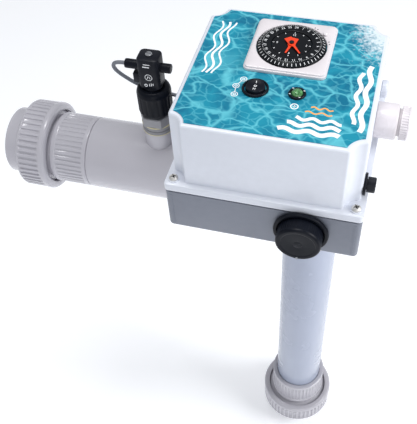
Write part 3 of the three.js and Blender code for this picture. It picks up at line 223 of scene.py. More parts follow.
def build_dust() -> None:
    """Group for the film that settles on what faces up."""
    group = Effect("settled_dust", {"Amount": 0.2}, ["Mask"])
    shape = group.node("ShaderNodeNewGeometry")
    split = group.node("ShaderNodeSeparateXYZ")
    group.link(shape.outputs["Normal"], split.inputs[0])
    up = group.window(split.outputs["Z"], 0.2)
    patch = group.noise(38.0, 6.0)
    film = group.combined("MULTIPLY", up.outputs["Result"], patch.outputs["Fac"])
    mask = group.combined("MULTIPLY", film, group.entry.outputs["Amount"])
    group.link(mask, group.exit.inputs["Mask"])


def build_brushing() -> None:
    """Group for the fine scratches of machined metal."""
    group = Effect("machined_lines", {"Fineness": 60.0}, ["Height", "Streak"])
    coords = group.node("ShaderNodeTexCoord")
    stretch = group.node("ShaderNodeMapping")
    stretch.inputs["Scale"].default_value = (1.0, 12.0, 30.0)
    lines = group.node("ShaderNodeTexNoise")
    lines.inputs["Detail"].default_value = 8.0
    group.link(coords.outputs["Object"], stretch.inputs["Vector"])
    group.link(stretch.outputs["Vector"], lines.inputs["Vector"])
    group.link(group.entry.outputs["Fineness"], lines.inputs["Scale"])
    group.link(lines.outputs["Fac"], group.exit.inputs["Height"])
    group.link(lines.outputs["Fac"], group.exit.inputs["Streak"])


# ---------------------------------------------------------------- finishes
def linear(red: int, green: int, blue: int) -> tuple[float, float, float, float]:
    """Scene-linear colour from a display colour of 0 to 255.

    Args:
        red: the red part.
        green: the green part.
        blue: the blue part.

    Returns:
        The colour, with an alpha of 1.
    """
    def one(part: int) -> float:
        """One channel."""
        share = part / 255
        return share / 12.92 if share <= 0.04045 else ((share + 0.055) / 1.055) ** 2.4
    return (one(red), one(green), one(blue), 1.0)


class Painter(NodeMaker):
    """Builds one material's nodes."""

    def __init__(self, name: str) -> None:
        """Starts a material with a bare Principled shader.

        Args:
            name: the material's name.
        """
        self.material = bpy.data.materials.new(name)
        self.material.use_nodes = True
        self.tree = self.material.node_tree
        self.tree.nodes.clear()
        self.shader = self.node("ShaderNodeBsdfPrincipled")
        out = self.node("ShaderNodeOutputMaterial")
        self.link(self.shader.outputs["BSDF"], out.inputs["Surface"])

    def effect(self, name: str, **values: float) -> bpy.types.Node:
        """Places an effect group.

        Args:
            name: the group's name.
            values: the values of its inputs.

        Returns:
            The group node.
        """
        node = self.node("ShaderNodeGroup")
        node.node_tree = Effect.made[name]
        for label, value in values.items():
            node.inputs[label].default_value = value
        return node

    def mix(
        self,
        factor: bpy.types.NodeSocket,
        first: bpy.types.NodeSocket | tuple[float, ...],
        second: bpy.types.NodeSocket | tuple[float, ...],
    ) -> bpy.types.NodeSocket:
        """Mixes two colours by a factor that changes over the surface.

        Args:
            factor: the socket that drives the mix.
            first: colour, or socket, at factor 0.
            second: colour, or socket, at factor 1.

        Returns:
            The mixed colour's socket.
        """
        node = self.node("ShaderNodeMix", data_type="RGBA")
        self.link(factor, node.inputs["Factor"])
        for label, value in (("A", first), ("B", second)):
            socket = [s for s in node.inputs if s.name == label and s.type == "RGBA"][0]
            if isinstance(value, bpy.types.NodeSocket):
                self.link(value, socket)
            else:
                socket.default_value = value
        return [s for s in node.outputs if s.type == "RGBA"][0]

    def spread(self, value: bpy.types.NodeSocket, low: float, high: float) -> bpy.types.NodeSocket:
        """Maps a 0 to 1 value onto low to high.

        Args:
            value: the socket that gives the value.
            low: what 0 becomes.
            high: what 1 becomes.

        Returns:
            The mapped value's socket.
        """
        node = self.node("ShaderNodeMapRange")
        node.inputs["To Min"].default_value = low
        node.inputs["To Max"].default_value = high
        self.link(value, node.inputs["Value"])
        return node.outputs["Result"]

    def coat(self, colour: bpy.types.NodeSocket, roughness: bpy.types.NodeSocket) -> None:
        """Feeds the colour and the roughness to the shader."""
        self.link(colour, self.shader.inputs["Base Color"])
        self.link(roughness, self.shader.inputs["Roughness"])

    def bump(self, height: bpy.types.NodeSocket, strength: float, distance: float) -> None:
        """Feeds a height to the shader's normal.

        Args:
            height: the socket that gives the height.
            strength: how strongly it tilts the skin.
            distance: the height of a full step, in metres.
        """
        node = self.node("ShaderNodeBump")
        node.inputs["Strength"].default_value = strength
        node.inputs["Distance"].default_value = distance
        self.link(height, node.inputs["Height"])
        self.link(node.outputs["Normal"], self.shader.inputs["Normal"])

    def settle(self, **values: float) -> None:
        """Sets plain values on the shader, with spaces for underscores."""
        for label, value in values.items():
            self.shader.inputs[label.replace("_", " ")].default_value = value


@dataclass(frozen=True)
class Moulded:
    """Injection-moulded or extruded plastic, and rubber."""

    name: str
    colour: Rgb
    roughness: float = 0.4
    mottle: float = 0.04
    grain: float = 0.12
    fineness: float = 900.0
    wear: float = 0.15
    dust: float = 0.1
    coat: float = 0.0
    shine: float = 0.5

    def make(self) -> bpy.types.Material:
        """Builds the material.

        Returns:
            The material.
        """
        paint = Painter(self.name)
        base = linear(*self.colour)
        shade = tuple(part * (1 - 2.2 * self.mottle) for part in base[:3]) + (1.0,)
        skin = paint.effect("moulded_grain", Fineness=self.fineness)
        worn = paint.effect("edge_wear", Reach=0.08)
        dust = paint.effect("settled_dust", Amount=self.dust)
        colour = paint.mix(skin.outputs["Mottle"], base, shade)
        pale = tuple(min(1.0, part * (1 + self.wear) + 0.05 * self.wear) for part in base[:3])
        colour = paint.mix(worn.outputs["Mask"], colour, pale + (1.0,))
        colour = paint.mix(dust.outputs["Mask"], colour, linear(206, 203, 198))
        rough = paint.spread(skin.outputs["Mottle"], self.roughness - 0.03, self.roughness + 0.05)
        paint.coat(colour, rough)
        paint.bump(skin.outputs["Height"], self.grain, 0.0002)
        paint.settle(Coat_Weight=self.coat, Coat_Roughness=0.12, Specular_IOR_Level=self.shine)
        return paint.material


@dataclass(frozen=True)
class Metal:
    """Machined metal with fine lines."""

    name: str
    colour: Rgb
    roughness: float = 0.28

    def make(self) -> bpy.types.Material:
        """Builds the material.

        Returns:
            The material.
        """
        paint = Painter(self.name)
        lines = paint.effect("machined_lines", Fineness=60.0)
        dust = paint.effect("settled_dust", Amount=0.08)
        base = linear(*self.colour)
        shade = tuple(part * 0.82 for part in base[:3]) + (1.0,)
        colour = paint.mix(lines.outputs["Streak"], base, shade)
        colour = paint.mix(dust.outputs["Mask"], colour, linear(190, 188, 184))
        rough = paint.spread(lines.outputs["Streak"], self.roughness - 0.08, self.roughness + 0.1)
        paint.coat(colour, rough)
        paint.bump(lines.outputs["Height"], 0.15, 0.0001)
        paint.settle(Metallic=1.0)
        return paint.material


@dataclass(frozen=True)
class WaterPrint:
    """Printed film that shows rippling pool water, fading out at one corner."""

    name: str = "water_print"
    deep: Rgb = (8, 108, 140)
    middle: Rgb = (24, 140, 166)
    light: Rgb = (104, 200, 214)
    fade: Rgb = (214, 226, 232)
    fade_across: tuple[float, float] = (0.010, 0.056)
    fade_along: tuple[float, float] = (-0.040, 0.023)

    def ripples(self, paint: Painter, scale: float, sharp: float) -> bpy.types.NodeSocket:
        """A net of bright lines, as light makes on a pool's floor.

        Args:
            paint: the material being built.
            scale: cells per metre.
            sharp: how wide the lines are, in cells.

        Returns:
            A socket that is 1 on the lines.
        """
        coords = paint.node("ShaderNodeTexCoord")
        swirl = paint.noise(scale * 0.9, 2.5)
        push = paint.node("ShaderNodeVectorMath", operation="SCALE")
        push.inputs["Scale"].default_value = 1.3 / scale
        paint.link(swirl.outputs["Color"], push.inputs[0])
        moved = paint.node("ShaderNodeVectorMath", operation="ADD")
        paint.link(coords.outputs["Object"], moved.inputs[0])
        paint.link(push.outputs[0], moved.inputs[1])
        flat = paint.node("ShaderNodeMapping")
        flat.inputs["Scale"].default_value = (0.8, 1.15, 0.0)
        paint.link(moved.outputs[0], flat.inputs["Vector"])
        cells = paint.node("ShaderNodeTexVoronoi", feature="DISTANCE_TO_EDGE")
        cells.inputs["Scale"].default_value = scale
        paint.link(flat.outputs["Vector"], cells.inputs["Vector"])
        line = paint.node("ShaderNodeMapRange", interpolation_type="SMOOTHSTEP")
        line.inputs["From Max"].default_value = sharp
        line.inputs["To Min"].default_value = 1.0
        line.inputs["To Max"].default_value = 0.0
        paint.link(cells.outputs["Distance"], line.inputs["Value"])
        return line.outputs["Result"]

    def corner(self, paint: Painter) -> bpy.types.NodeSocket:
        """A speckled mask that grows towards the back right corner.

        Args:
            paint: the material being built.

        Returns:
            A socket that is 1 where the print has faded out.
        """
        coords = paint.node("ShaderNodeTexCoord")
        split = paint.node("ShaderNodeSeparateXYZ")
        paint.link(coords.outputs["Object"], split.inputs[0])
        across = paint.window(split.outputs["X"], *self.fade_across)
        along = paint.window(split.outputs["Y"], *self.fade_along)
        both = paint.combined("MULTIPLY", across.outputs["Result"], along.outputs["Result"])
        speckle = paint.noise(420.0, 8.0)
        edge = paint.combined("ADD", both, speckle.outputs["Fac"])
        return paint.window(edge, 0.72, 1.12).outputs["Result"]

    def make(self) -> bpy.types.Material:
        """Builds the material.

        Returns:
            The material.
        """
        paint = Painter(self.name)
        patch = paint.noise(34.0, 5.0, 1.1)
        tone = paint.window(patch.outputs["Fac"], 0.36, 0.62)
        colour = paint.mix(tone.outputs["Result"], linear(*self.deep), linear(*self.middle))
        for scale, sharp, strength in ((44.0, 0.085, 0.7), (92.0, 0.09, 0.34)):
            net = paint.spread(self.ripples(paint, scale, sharp), 0.0, strength)
            colour = paint.mix(net, colour, linear(*self.light))
        colour = paint.mix(self.corner(paint), colour, linear(*self.fade))
        paint.coat(colour, paint.spread(patch.outputs["Fac"], 0.3, 0.42))
        skin = paint.effect("moulded_grain", Fineness=1400.0)
        paint.bump(skin.outputs["Height"], 0.05, 0.0001)
        paint.settle(Specular_IOR_Level=0.25)
        return paint.material


@dataclass(frozen=True)
class FacetedLens:
    """Dark green lamp lens with a facet pattern inside."""

    name: str = "lens_green"
    dark: Rgb = (14, 52, 24)
    bright: Rgb = (96, 170, 96)
    facets_per_metre: float = 520.0

    def make(self) -> bpy.types.Material:
        """Builds the material.

        Returns:
            The material.
        """
        paint = Painter(self.name)
        coords = paint.node("ShaderNodeTexCoord")
        facets = paint.node("ShaderNodeTexVoronoi")
        facets.inputs["Scale"].default_value = self.facets_per_metre
        paint.link(coords.outputs["Object"], facets.inputs["Vector"])
        away = facets.outputs["Distance"]
        colour = paint.mix(away, linear(*self.dark), linear(*self.bright))
        paint.coat(colour, paint.spread(away, 0.08, 0.22))
        paint.bump(away, 0.6, 0.0004)
        paint.settle(Coat_Weight=1.0, Coat_Roughness=0.05)
        return paint.material


class Finishes:
    """Every finish of the object, each made once."""

    def __init__(self) -> None:
        """Builds the effect groups and then the materials."""
        for build in (build_grain, build_wear, build_dust, build_brushing):
            build()
        # Plastics: colour, roughness, mottle, grain, fineness, wear, dust, coat and shine.
        # Metals: colour and roughness.
        kinds = (
            Moulded("lid_grey", (222, 226, 236), 0.34, 0.015, 0.06, 1100.0, 0.06, 0.04, 0.2),
            Moulded("base_grey", (118, 123, 136), 0.42, 0.05, 0.16, 800.0, 0.1, 0.06, 0.05),
            Moulded("pipe_grey", (192, 190, 198), 0.2, 0.02, 0.04, 700.0, 0.03, 0.02, 0.4),
            # drop_pipe_painted_shade: the same grey PVC as pipe_grey, painted darker and bluer as
            # shade on the drop pipe.
            Moulded("drop_pipe_painted_shade", (170, 178, 198), 0.24, 0.015, 0.04, 700.0, 0.02, 0.01, 0.3),
            Moulded("white_plastic", (222, 216, 220), 0.3, 0.015, 0.04, 1200.0, 0.05, 0.03, 0.2),
            Moulded("clamp_grey", (120, 124, 132), 0.5, 0.05, 0.2, 800.0, 0.12, 0.12),
            Moulded("adapter_grey", (142, 142, 147), 0.36, 0.06, 0.12, 800.0, 0.15, 0.1, 0.1),
            Moulded("black_plastic", (15, 19, 29), 0.32, 0.1, 0.12, 900.0, 0.5, 0.0, 0.0, 0.14),
            Moulded("dial_black", (10, 13, 19), 0.3, 0.05, 0.04, 1200.0, 0.3, 0.0, 0.05, 0.2),
            Moulded("hand_orange", (236, 62, 14), 0.35, 0.05, 0.05, 1200.0, 0.1, 0.0, 0.1),
            Moulded("print_white", (244, 246, 248), 0.45, 0.02, 0.03, 1500.0, 0.0, 0.02),
            Moulded("print_orange", (250, 176, 92), 0.45, 0.04, 0.03, 1500.0, 0.0, 0.02),
            Moulded("print_grey", (150, 154, 160), 0.45, 0.02, 0.03, 1500.0, 0.0, 0.02),
            Moulded("sealant", (214, 205, 168), 0.5, 0.08, 0.2, 1500.0, 0.0, 0.05),
            Moulded("rubber", (30, 31, 34), 0.75, 0.08, 0.3, 1500.0, 0.2, 0.1),
            Moulded("cable_jacket", (116, 120, 130), 0.5, 0.06, 0.2, 1500.0, 0.1, 0.05),
            Moulded("board_green", (44, 108, 68), 0.5, 0.1, 0.3, 1200.0, 0.2, 0.1, 0.3),
            Metal("steel", (204, 206, 210), 0.26),
            Metal("screw_zinc", (232, 230, 226), 0.5),
            Metal("titanium", (132, 130, 128), 0.42),
            WaterPrint(),
            FacetedLens(),
        )
        self.materials = {kind.name: kind.make() for kind in kinds}

    def __getitem__(self, name: str) -> bpy.types.Material:
        """The material of that name."""
        return self.materials[name]


# ---------------------------------------------------------------- mesh making
class Facing(Enum):
    """Directions that round pieces point in: outward axis, then the one counted as up."""

    UP = ((0, 0, 1), (0, 1, 0))
    DOWN = ((0, 0, -1), (0, 1, 0))
    LEFT = ((-1, 0, 0), (0, 0, 1))
    RIGHT = ((1, 0, 0), (0, 0, 1))
    FRONT = ((0, -1, 0), (0, 0, 1))


@dataclass(frozen=True)
class Spot:
    """A place with an outward direction, in millimetres."""

    at: tuple[float, float, float]
    facing: Facing = Facing.UP

    def point(self, x: float, y: float, out: float) -> Vector:
        """A point by its offsets sideways, upward and outward."""
        outward, up = (Vector(axis) for axis in self.facing.value)
        return Vector(self.at) + up.cross(outward) * x + up * y + outward * out

    def ring(self, radius: float, out: float, count: int, turn: float = 0.0) -> list[Vector]:
        """Points evenly round the axis.

        Args:
            radius: distance from the axis.
            out: height over the spot.
            count: how many points.
            turn: angle of the first, in radians.

        Returns:
            The points.
        """
        step = 2 * math.pi / count
        return [
            self.point(
                radius * math.cos(turn + i * step), radius * math.sin(turn + i * step), out
            )
            for i in range(count)
        ]


def shell(name: str, rings: Sequence[Sequence[Vector]], closed: bool = False) -> bpy.types.Mesh:
    """A closed skin over rings of equal count.

    Args:
        name: the mesh's name.
        rings: rings of points in millimetres, in order along the skin.
        closed: True if the last ring joins the first, otherwise both get an end face.

    Returns:
        The mesh, in metres, with its faces turned outward.
    """
    work = bmesh.new()
    rows = [[work.verts.new(point * MM) for point in ring] for ring in rings]
    pairs = list(zip(rows, rows[1:])) + ([(rows[-1], rows[0])] if closed else [])
    for low, high in pairs:
        for i in range(len(low)):
            j = (i + 1) % len(low)
            work.faces.new((low[i], low[j], high[j], high[i]))
    if not closed:
        work.faces.new(rows[0][::-1])
        work.faces.new(rows[-1])
    bmesh.ops.recalc_face_normals(work, faces=work.faces)
    mesh = bpy.data.meshes.new(name)
    work.to_mesh(mesh)
    work.free()
    return mesh


def merged(name: str, meshes: Sequence[bpy.types.Mesh]) -> bpy.types.Mesh:
    """Several separate skins as one mesh.

    Args:
        name: the new mesh's name.
        meshes: the skins, which are used up.

    Returns:
        The mesh.
    """
    work = bmesh.new()
    for mesh in meshes:
        work.from_mesh(mesh)
        bpy.data.meshes.remove(mesh)
    whole = bpy.data.meshes.new(name)
    work.to_mesh(whole)
    work.free()
    return whole


def filleted(profile: Profile, radius: float, steps: int = 3) -> Profile:
    """Rounds each inside corner of an open profile.

    Args:
        profile: points of (radius, height).
        radius: fillet size, cut down where an edge is short.
        steps: points along each fillet.

    Returns:
        The rounded profile.
    """
    points = [Vector(p[:2]) for p in profile]
    out = [tuple(points[0])]
    for before, here, after in zip(points, points[1:], points[2:]):
        back, on = before - here, after - here
        reach = min(radius, back.length * 0.45, on.length * 0.45)
        start = here + back.normalized() * reach
        end = here + on.normalized() * reach
        for i in range(steps + 1):
            t = i / steps
            out.append(tuple(start * (1 - t) ** 2 + here * 2 * t * (1 - t) + end * t * t))
    return out + [tuple(points[-1])]


def turned(
    name: str, spot: Spot, profile: Profile, count: int = 64, fillet: float = 0.5
) -> bpy.types.Mesh:
    """A turned body.

    Args:
        name: the mesh's name.
        spot: where its axis starts and points.
        profile: its (radius, height) corners along the skin, from axis to axis.
        count: segments round the axis.
        fillet: rounding of the corners.

    Returns:
        The mesh.
    """
    return shell(name, [spot.ring(r, h, count) for r, h in filleted(profile, fillet)])


def bored(
    name: str, spot: Spot, profile: Profile, count: int = 64, fillet: float = 0.5
) -> bpy.types.Mesh:
    """A turned body with a hole through it: its profile closes on itself.

    Args:
        name: the mesh's name.
        spot: where its axis starts and points.
        profile: its (radius, height) corners.
        count: segments round the axis.
        fillet: rounding of the corners.

    Returns:
        The mesh.
    """
    ends = [profile[-1], *profile, profile[0]]
    rounded = filleted(ends, fillet)[1:-1]
    return shell(name, [spot.ring(r, h, count) for r, h in rounded], closed=True)


@dataclass(frozen=True)
class Ribbing:
    """Evenly spaced ribs along part of a turned body."""

    count: int
    depth: float
    low: float
    high: float
    fade: float = 1.0
    share: float = 0.34

    def cut(self, out: float, turn: float) -> float:
        """How far the skin sinks at a height and an angle between the ribs.

        Args:
            out: height over the spot.
            turn: angle round the axis, in radians.

        Returns:
            The depth in millimetres.
        """
        ends = min(out - self.low, self.high - out) / self.fade
        if ends <= 0:
            return 0.0
        phase = (turn * self.count / (2 * math.pi)) % 1.0
        away = min(phase, 1 - phase)
        return self.depth * min(1.0, ends) * (1.0 if away < self.share / 2 else 0.0)


def ribbed(
    name: str,
    spot: Spot,
    profile: Profile,
    ribs: Sequence[Ribbing],
    per_rib: int = 8,
    fillet: float = 0.5,
) -> bpy.types.Mesh:
    """A bored body whose outside carries ribs.

    Args:
        name: the mesh's name.
        spot: where its axis starts and points.
        profile: (radius, height) corners that close on themselves. Points that carry ribs
            have a third value above 0.
        ribs: the bands of ribs, all with one count.
        per_rib: segments for each rib.
        fillet: rounding of the corners that carry no ribs.

    Returns:
        The mesh.
    """
    count = ribs[0].count * per_rib
    shortest_wall, clear = 1.5, 0.05
    rounded = filleted([profile[-1][:2], *profile, profile[0][:2]], fillet)[1:-1]
    outside = min(p[0] for p in profile if len(p) > 2) - 0.01
    rings: list[list[Vector]] = []
    for (r0, h0), (r1, h1) in zip(rounded, rounded[1:] + rounded[:1]):
        stops = [(r0, h0)]
        if min(r0, r1) >= outside and abs(h1 - h0) > shortest_wall:
            heights = sorted(
                (
                    h for band in ribs
                    for h in (band.low, band.low + band.fade, band.high - band.fade, band.high)
                    if min(h0, h1) + clear < h < max(h0, h1) - clear
                ),
                reverse=h1 < h0,
            )
            stops += [(r0 + (r1 - r0) * (h - h0) / (h1 - h0), h) for h in heights]
        for r, h in stops:
            ring = []
            for i in range(count):
                turn = 2 * math.pi * i / count
                sunk = sum(band.cut(h, turn) for band in ribs) if r >= outside else 0.0
                ring.append(
                    spot.point((r - sunk) * math.cos(turn), (r - sunk) * math.sin(turn), h)
                )
            rings.append(ring)
    return shell(name, rings, closed=True)


def rounded_square(side: float, radius: float, arc: int = 7, edge: int = 6) -> list[Vector]:
    """Outline of a square with round corners, with points along its edges too.

    Args:
        side: full side of the square.
        radius: radius of its corners.
        arc: steps round each corner.
        edge: steps along each edge.

    Returns:
        The outline.
    """
    half = side / 2 - radius
    points: list[Vector] = []
    for k, (sx, sy) in enumerate(((1, 1), (-1, 1), (-1, -1), (1, -1))):
        for i in range(arc + 1):
            turn = math.pi / 2 * (k + i / arc)
            points.append(
                Vector((sx * half + radius * math.cos(turn), sy * half + radius * math.sin(turn)))
            )
        tx, ty = ((-1, 1), (-1, -1), (1, -1), (1, 1))[k]
        turn = math.pi / 2 * (k + 1)
        rim = Vector((radius * math.cos(turn), radius * math.sin(turn)))
        start, end = Vector((sx, sy)) * half + rim, Vector((tx, ty)) * half + rim
        points += [start.lerp(end, j / edge) for j in range(1, edge)]
    return points


def rounded_block(wide: float, deep: float, radius: float, arc: int = 5) -> list[Vector]:
    """Outline of a rectangle with round corners.

    Args:
        wide: its size in X.
        deep: its size in Y.
        radius: radius of its corners.
        arc: steps round each corner.

    Returns:
        The outline.
    """
    points: list[Vector] = []
    for k, (sx, sy) in enumerate(((1, 1), (-1, 1), (-1, -1), (1, -1))):
        for i in range(arc + 1):
            turn = math.pi / 2 * (k + i / arc)
            points.append(Vector((
                sx * (wide / 2 - radius) + radius * math.cos(turn),
                sy * (deep / 2 - radius) + radius * math.sin(turn),
            )))
    return points


def scooped_square(
    side: float, notch: float, inset: float = 0.0, fillet: float = 2.6
) -> list[Vector]:
    """Outline of a square whose corners are scooped out, set in by a margin.

    Args:
        side: full side of the square.
        notch: radius of the scoop, centred on each corner.
        inset: how far the outline lies inside the square.
        fillet: rounding where a scoop meets a side.

    Returns:
        The outline.
    """
    nose_points, scoop_steps, nudge = 5, 12, 0.02
    half, scoop = side / 2, notch + fillet
    away = math.sqrt(scoop * scoop - fillet * fillet)
    nose = max(0.0, fillet - inset)
    reach = notch + min(inset, fillet) + max(0.0, inset - fillet)
    outline: list[Vector] = []
    lean = math.asin(fillet / scoop)
    for k in range(4):
        spin = Matrix.Rotation(math.pi / 2 * k, 2)
        side_nose = Vector((half - fillet, half - away))
        top_nose = Vector((half - away, half - fillet))
        arc: list[Vector] = []
        if inset < fillet:
            for i in range(nose_points):
                turn = (math.pi / 2 - lean) * i / (nose_points - 1)
                arc.append(side_nose + Vector((math.cos(turn), math.sin(turn))) * nose)
            low, high = math.pi * 1.5 - lean, math.pi + lean
        else:
            grown = math.acos(min(1.0, inset / reach))
            low, high = math.pi * 1.5 - (math.pi / 2 - grown), math.pi + (math.pi / 2 - grown)
            start = Vector((half, half)) + Vector((math.cos(low), math.sin(low))) * reach
            arc += [start - Vector((0, nudge * i)) for i in reversed(range(nose_points))]
        for i in range(1, scoop_steps):
            turn = low + (high - low) * i / scoop_steps
            arc.append(Vector((half, half)) + Vector((math.cos(turn), math.sin(turn))) * reach)
        if inset < fillet:
            for i in range(nose_points):
                turn = lean + (math.pi / 2 - lean) * i / (nose_points - 1)
                arc.append(top_nose + Vector((math.cos(turn), math.sin(turn))) * nose)
        else:
            end = Vector((half, half)) + Vector((math.cos(high), math.sin(high))) * reach
            arc += [end - Vector((nudge * i, 0)) for i in range(nose_points)]
        outline += [spin @ point for point in arc]
    return outline


def raised_ring(outline: Sequence[Vector], centre: tuple[float, float], z: float) -> list[Vector]:
    """An outline put at a centre and a height."""
    return [Vector((p.x + centre[0], p.y + centre[1], z)) for p in outline]


def round_match(outline: Sequence[Vector], radius: float) -> list[Vector]:
    """A circle with as many points as an outline, each in the same direction."""
    return [p.normalized() * radius for p in outline]


def plate(
    spot: Spot, outline: Sequence[tuple[float, float]], low: float, high: float
) -> bpy.types.Mesh:
    """A flat piece with the given outline, between two heights over a spot.

    Args:
        spot: the face it lies on.
        outline: its corners on that face.
        low: height of its underside over the spot.
        high: height of its top.

    Returns:
        The mesh.
    """
    return shell(
        "plate",
        [[spot.point(x, y, out) for x, y in outline] for out in (low, high)],
    )


def bar_outline(
    start: tuple[float, float], end: tuple[float, float], width: float
) -> list[tuple[float, float]]:
    """Outline of a straight bar with a given width.

    Args:
        start: the middle of one end.
        end: the middle of the other.
        width: its width.

    Returns:
        Its four corners.
    """
    a, b = Vector(start), Vector(end)
    side = (b - a).orthogonal().normalized() * width / 2
    return [tuple(p) for p in (a + side, a - side, b - side, b + side)]


def around(radius: float, turn: float) -> tuple[float, float]:
    """A point at a distance and an angle from the middle."""
    return (math.cos(turn) * radius, math.sin(turn) * radius)


def spoke(turn: float, inner: float, outer: float, width: float) -> list[tuple[float, float]]:
    """Outline of a straight bar that points away from the middle."""
    return bar_outline(around(inner, turn), around(outer, turn), width)


def wave(
    start: float, end: float, level: float, swing: float, bends: int, phase: float, steps: int
) -> list[tuple[float, float]]:
    """A wavy line along one axis.

    Args:
        start: where it starts along the axis.
        end: where it ends.
        level: how far it lies from the axis.
        swing: how far it waves to each side.
        bends: half waves along its length.
        phase: where in a wave it starts, in radians.
        steps: straight steps that make it up.

    Returns:
        Its points, each as (along, across).
    """
    return [
        (
            start + (end - start) * t / steps,
            level + swing * math.sin(t / steps * math.pi * bends + phase),
        )
        for t in range(steps + 1)
    ]


def washer(spot: Spot, at: tuple[float, float], inner: float, outer: float, low: float,
           high: float, count: int = 40) -> bpy.types.Mesh:
    """A flat ring over a spot.

    Args:
        spot: the face it lies on.
        at: its middle on that face.
        inner: radius of its hole.
        outer: its own radius.
        low: height of its underside over the spot.
        high: height of its top.
        count: segments round it.

    Returns:
        The mesh.
    """
    def loop(radius: float, out: float) -> list[Vector]:
        """One loop of the ring.

        Args:
            radius: its radius.
            out: its height over the spot.

        Returns:
            Its points.
        """
        step = 2 * math.pi / count
        ways = [around(radius, i * step) for i in range(count)]
        return [spot.point(at[0] + x, at[1] + y, out) for x, y in ways]
    rings = [loop(outer, low), loop(outer, high), loop(inner, high), loop(inner, low)]
    return shell("washer", rings, closed=True)


def ribbon(spot: Spot, line: Sequence[tuple[float, float]], width: float, low: float,
           high: float) -> bpy.types.Mesh:
    """A flat band of even width along a line over a spot.

    Args:
        spot: the face it lies on.
        line: the points along its middle.
        width: its width.
        low: height of its underside over the spot.
        high: height of its top.

    Returns:
        The mesh.
    """
    points = [Vector(p) for p in line]
    left, right = [], []
    for i, here in enumerate(points):
        along = points[min(i + 1, len(points) - 1)] - points[max(i - 1, 0)]
        side = along.orthogonal().normalized() * width / 2
        left.append(here + side)
        right.append(here - side)
    rings = []
    for a, b in zip(left, right):
        rings.append([
            spot.point(a.x, a.y, low), spot.point(b.x, b.y, low),
            spot.point(b.x, b.y, high), spot.point(a.x, a.y, high),
        ])
    return shell("ribbon", rings)


def numeral(spot: Spot, text: str, at: tuple[float, float], size: float, turn: float,
            low: float, high: float) -> bpy.types.Mesh:
    """A dial number as a thin raised shape.

    Args:
        spot: the face it lies on.
        text: the digits.
        at: the middle of the number on the face.
        size: its height.
        turn: how far it is turned anticlockwise, in radians.
        low: height of its underside over the spot.
        high: height of its top.

    Returns:
        The mesh.
    """
    curve = bpy.data.curves.new("number", "FONT")
    curve.body = text
    curve.size = size * 1.4
    curve.align_x = "CENTER"
    curve.align_y = "CENTER"
    curve.extrude = (high - low) / 2
    curve.resolution_u = 3
    carrier = bpy.data.objects.new("number", curve)
    mesh = bpy.data.meshes.new_from_object(carrier)
    bpy.data.objects.remove(carrier)
    bpy.data.curves.remove(curve)
    spin = Matrix.Rotation(turn, 3, "Z")
    for vertex in mesh.vertices:
        place = spin @ vertex.co
        vertex.co = spot.point(place.x + at[0], place.y + at[1], place.z + (low + high) / 2) * MM
    mesh.update()
    return mesh


# ---------------------------------------------------------------- pieces
@dataclass
class Assembly:
    """Common ways to put a mesh in the scene."""

    finishes: Finishes
    body: str = CELL

    def put(
        self,
        name: str,
        mesh: bpy.types.Mesh,
        finish: str,
        stands_for: Sequence[str] = (),
        slot: str = "",
        body: str = "",
        sharp: float = SHARP_PIECE,
        bevel: float = 0.0,
    ) -> bpy.types.Object:
        """Makes an object from a mesh and dresses it.

        Args:
            name: the piece's name.
            mesh: its mesh.
            finish: the finish it takes.
            stands_for: the solids it is shown in place of.
            slot: the record's material slot, if it isn't the finish's own name; not used.
            body: the moving body it rides on, if not the assembly's.
            sharp: edges steeper than this, in degrees, stay sharp.
            bevel: width of a rounded edge in millimetres, 0 for none.

        Returns:
            The object.
        """
        mesh.name = name
        piece = bpy.data.objects.new(name, mesh)
        bpy.context.scene.collection.objects.link(piece)
        mesh.materials.clear()
        mesh.materials.append(self.finishes[finish])
        mesh.polygons.foreach_set("use_smooth", [True] * len(mesh.polygons))
        mesh.set_sharp_from_angle(angle=math.radians(sharp))
        if bevel:
            soften(piece, bevel)
        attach(piece, body or self.body)
        if stands_for:
            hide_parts(*stands_for)
        LOG.info("%s: %d faces on %s", name, len(mesh.polygons), body or self.body)
        return piece

    def mark(
        self,
        name: str,
        marks: Sequence[bpy.types.Mesh],
        finish: str = "print_white",
        slot: str = "label_film",
        body: str = "",
    ) -> None:
        """Puts a set of thin marks in the scene as one piece.

        Args:
            name: the piece's name.
            marks: their meshes.
            finish: the finish they take.
            slot: the record's material slot; not used.
            body: the moving body they ride on, if not the assembly's.
        """
        self.put(name, merged(name, marks), finish, slot=slot, body=body)

    def dress(self, node: str, finish: str, bevel: float = 0.0) -> None:
        """Gives a solid of the frame its finish and soft edges.

        Args:
            node: the solid's name.
            finish: the finish it takes.
            bevel: width of its rounded edges in millimetres, 0 for none.
        """
        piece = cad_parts[node]
        piece.data.materials.clear()
        piece.data.materials.append(self.finishes[finish])
        piece.data.polygons.foreach_set("use_smooth", [True] * len(piece.data.polygons))
        piece.data.set_sharp_from_angle(angle=math.radians(SHARP_SOLID))
        if bevel:
            soften(piece, bevel)
        LOG.info("%s dressed in %s", node, finish)


def soften(piece: bpy.types.Object, width: float) -> None:
    """Rounds the sharp edges of a piece.

    Args:
        piece: the object.
        width: width of the rounding in millimetres.
    """
    round_edges = piece.modifiers.new("rounded_edges", "BEVEL")
    round_edges.width = width * MM
    round_edges.segments = 2
    round_edges.limit_method = "ANGLE"
    round_edges.angle_limit = math.radians(ROUNDED_EDGE)
    round_edges.harden_normals = True


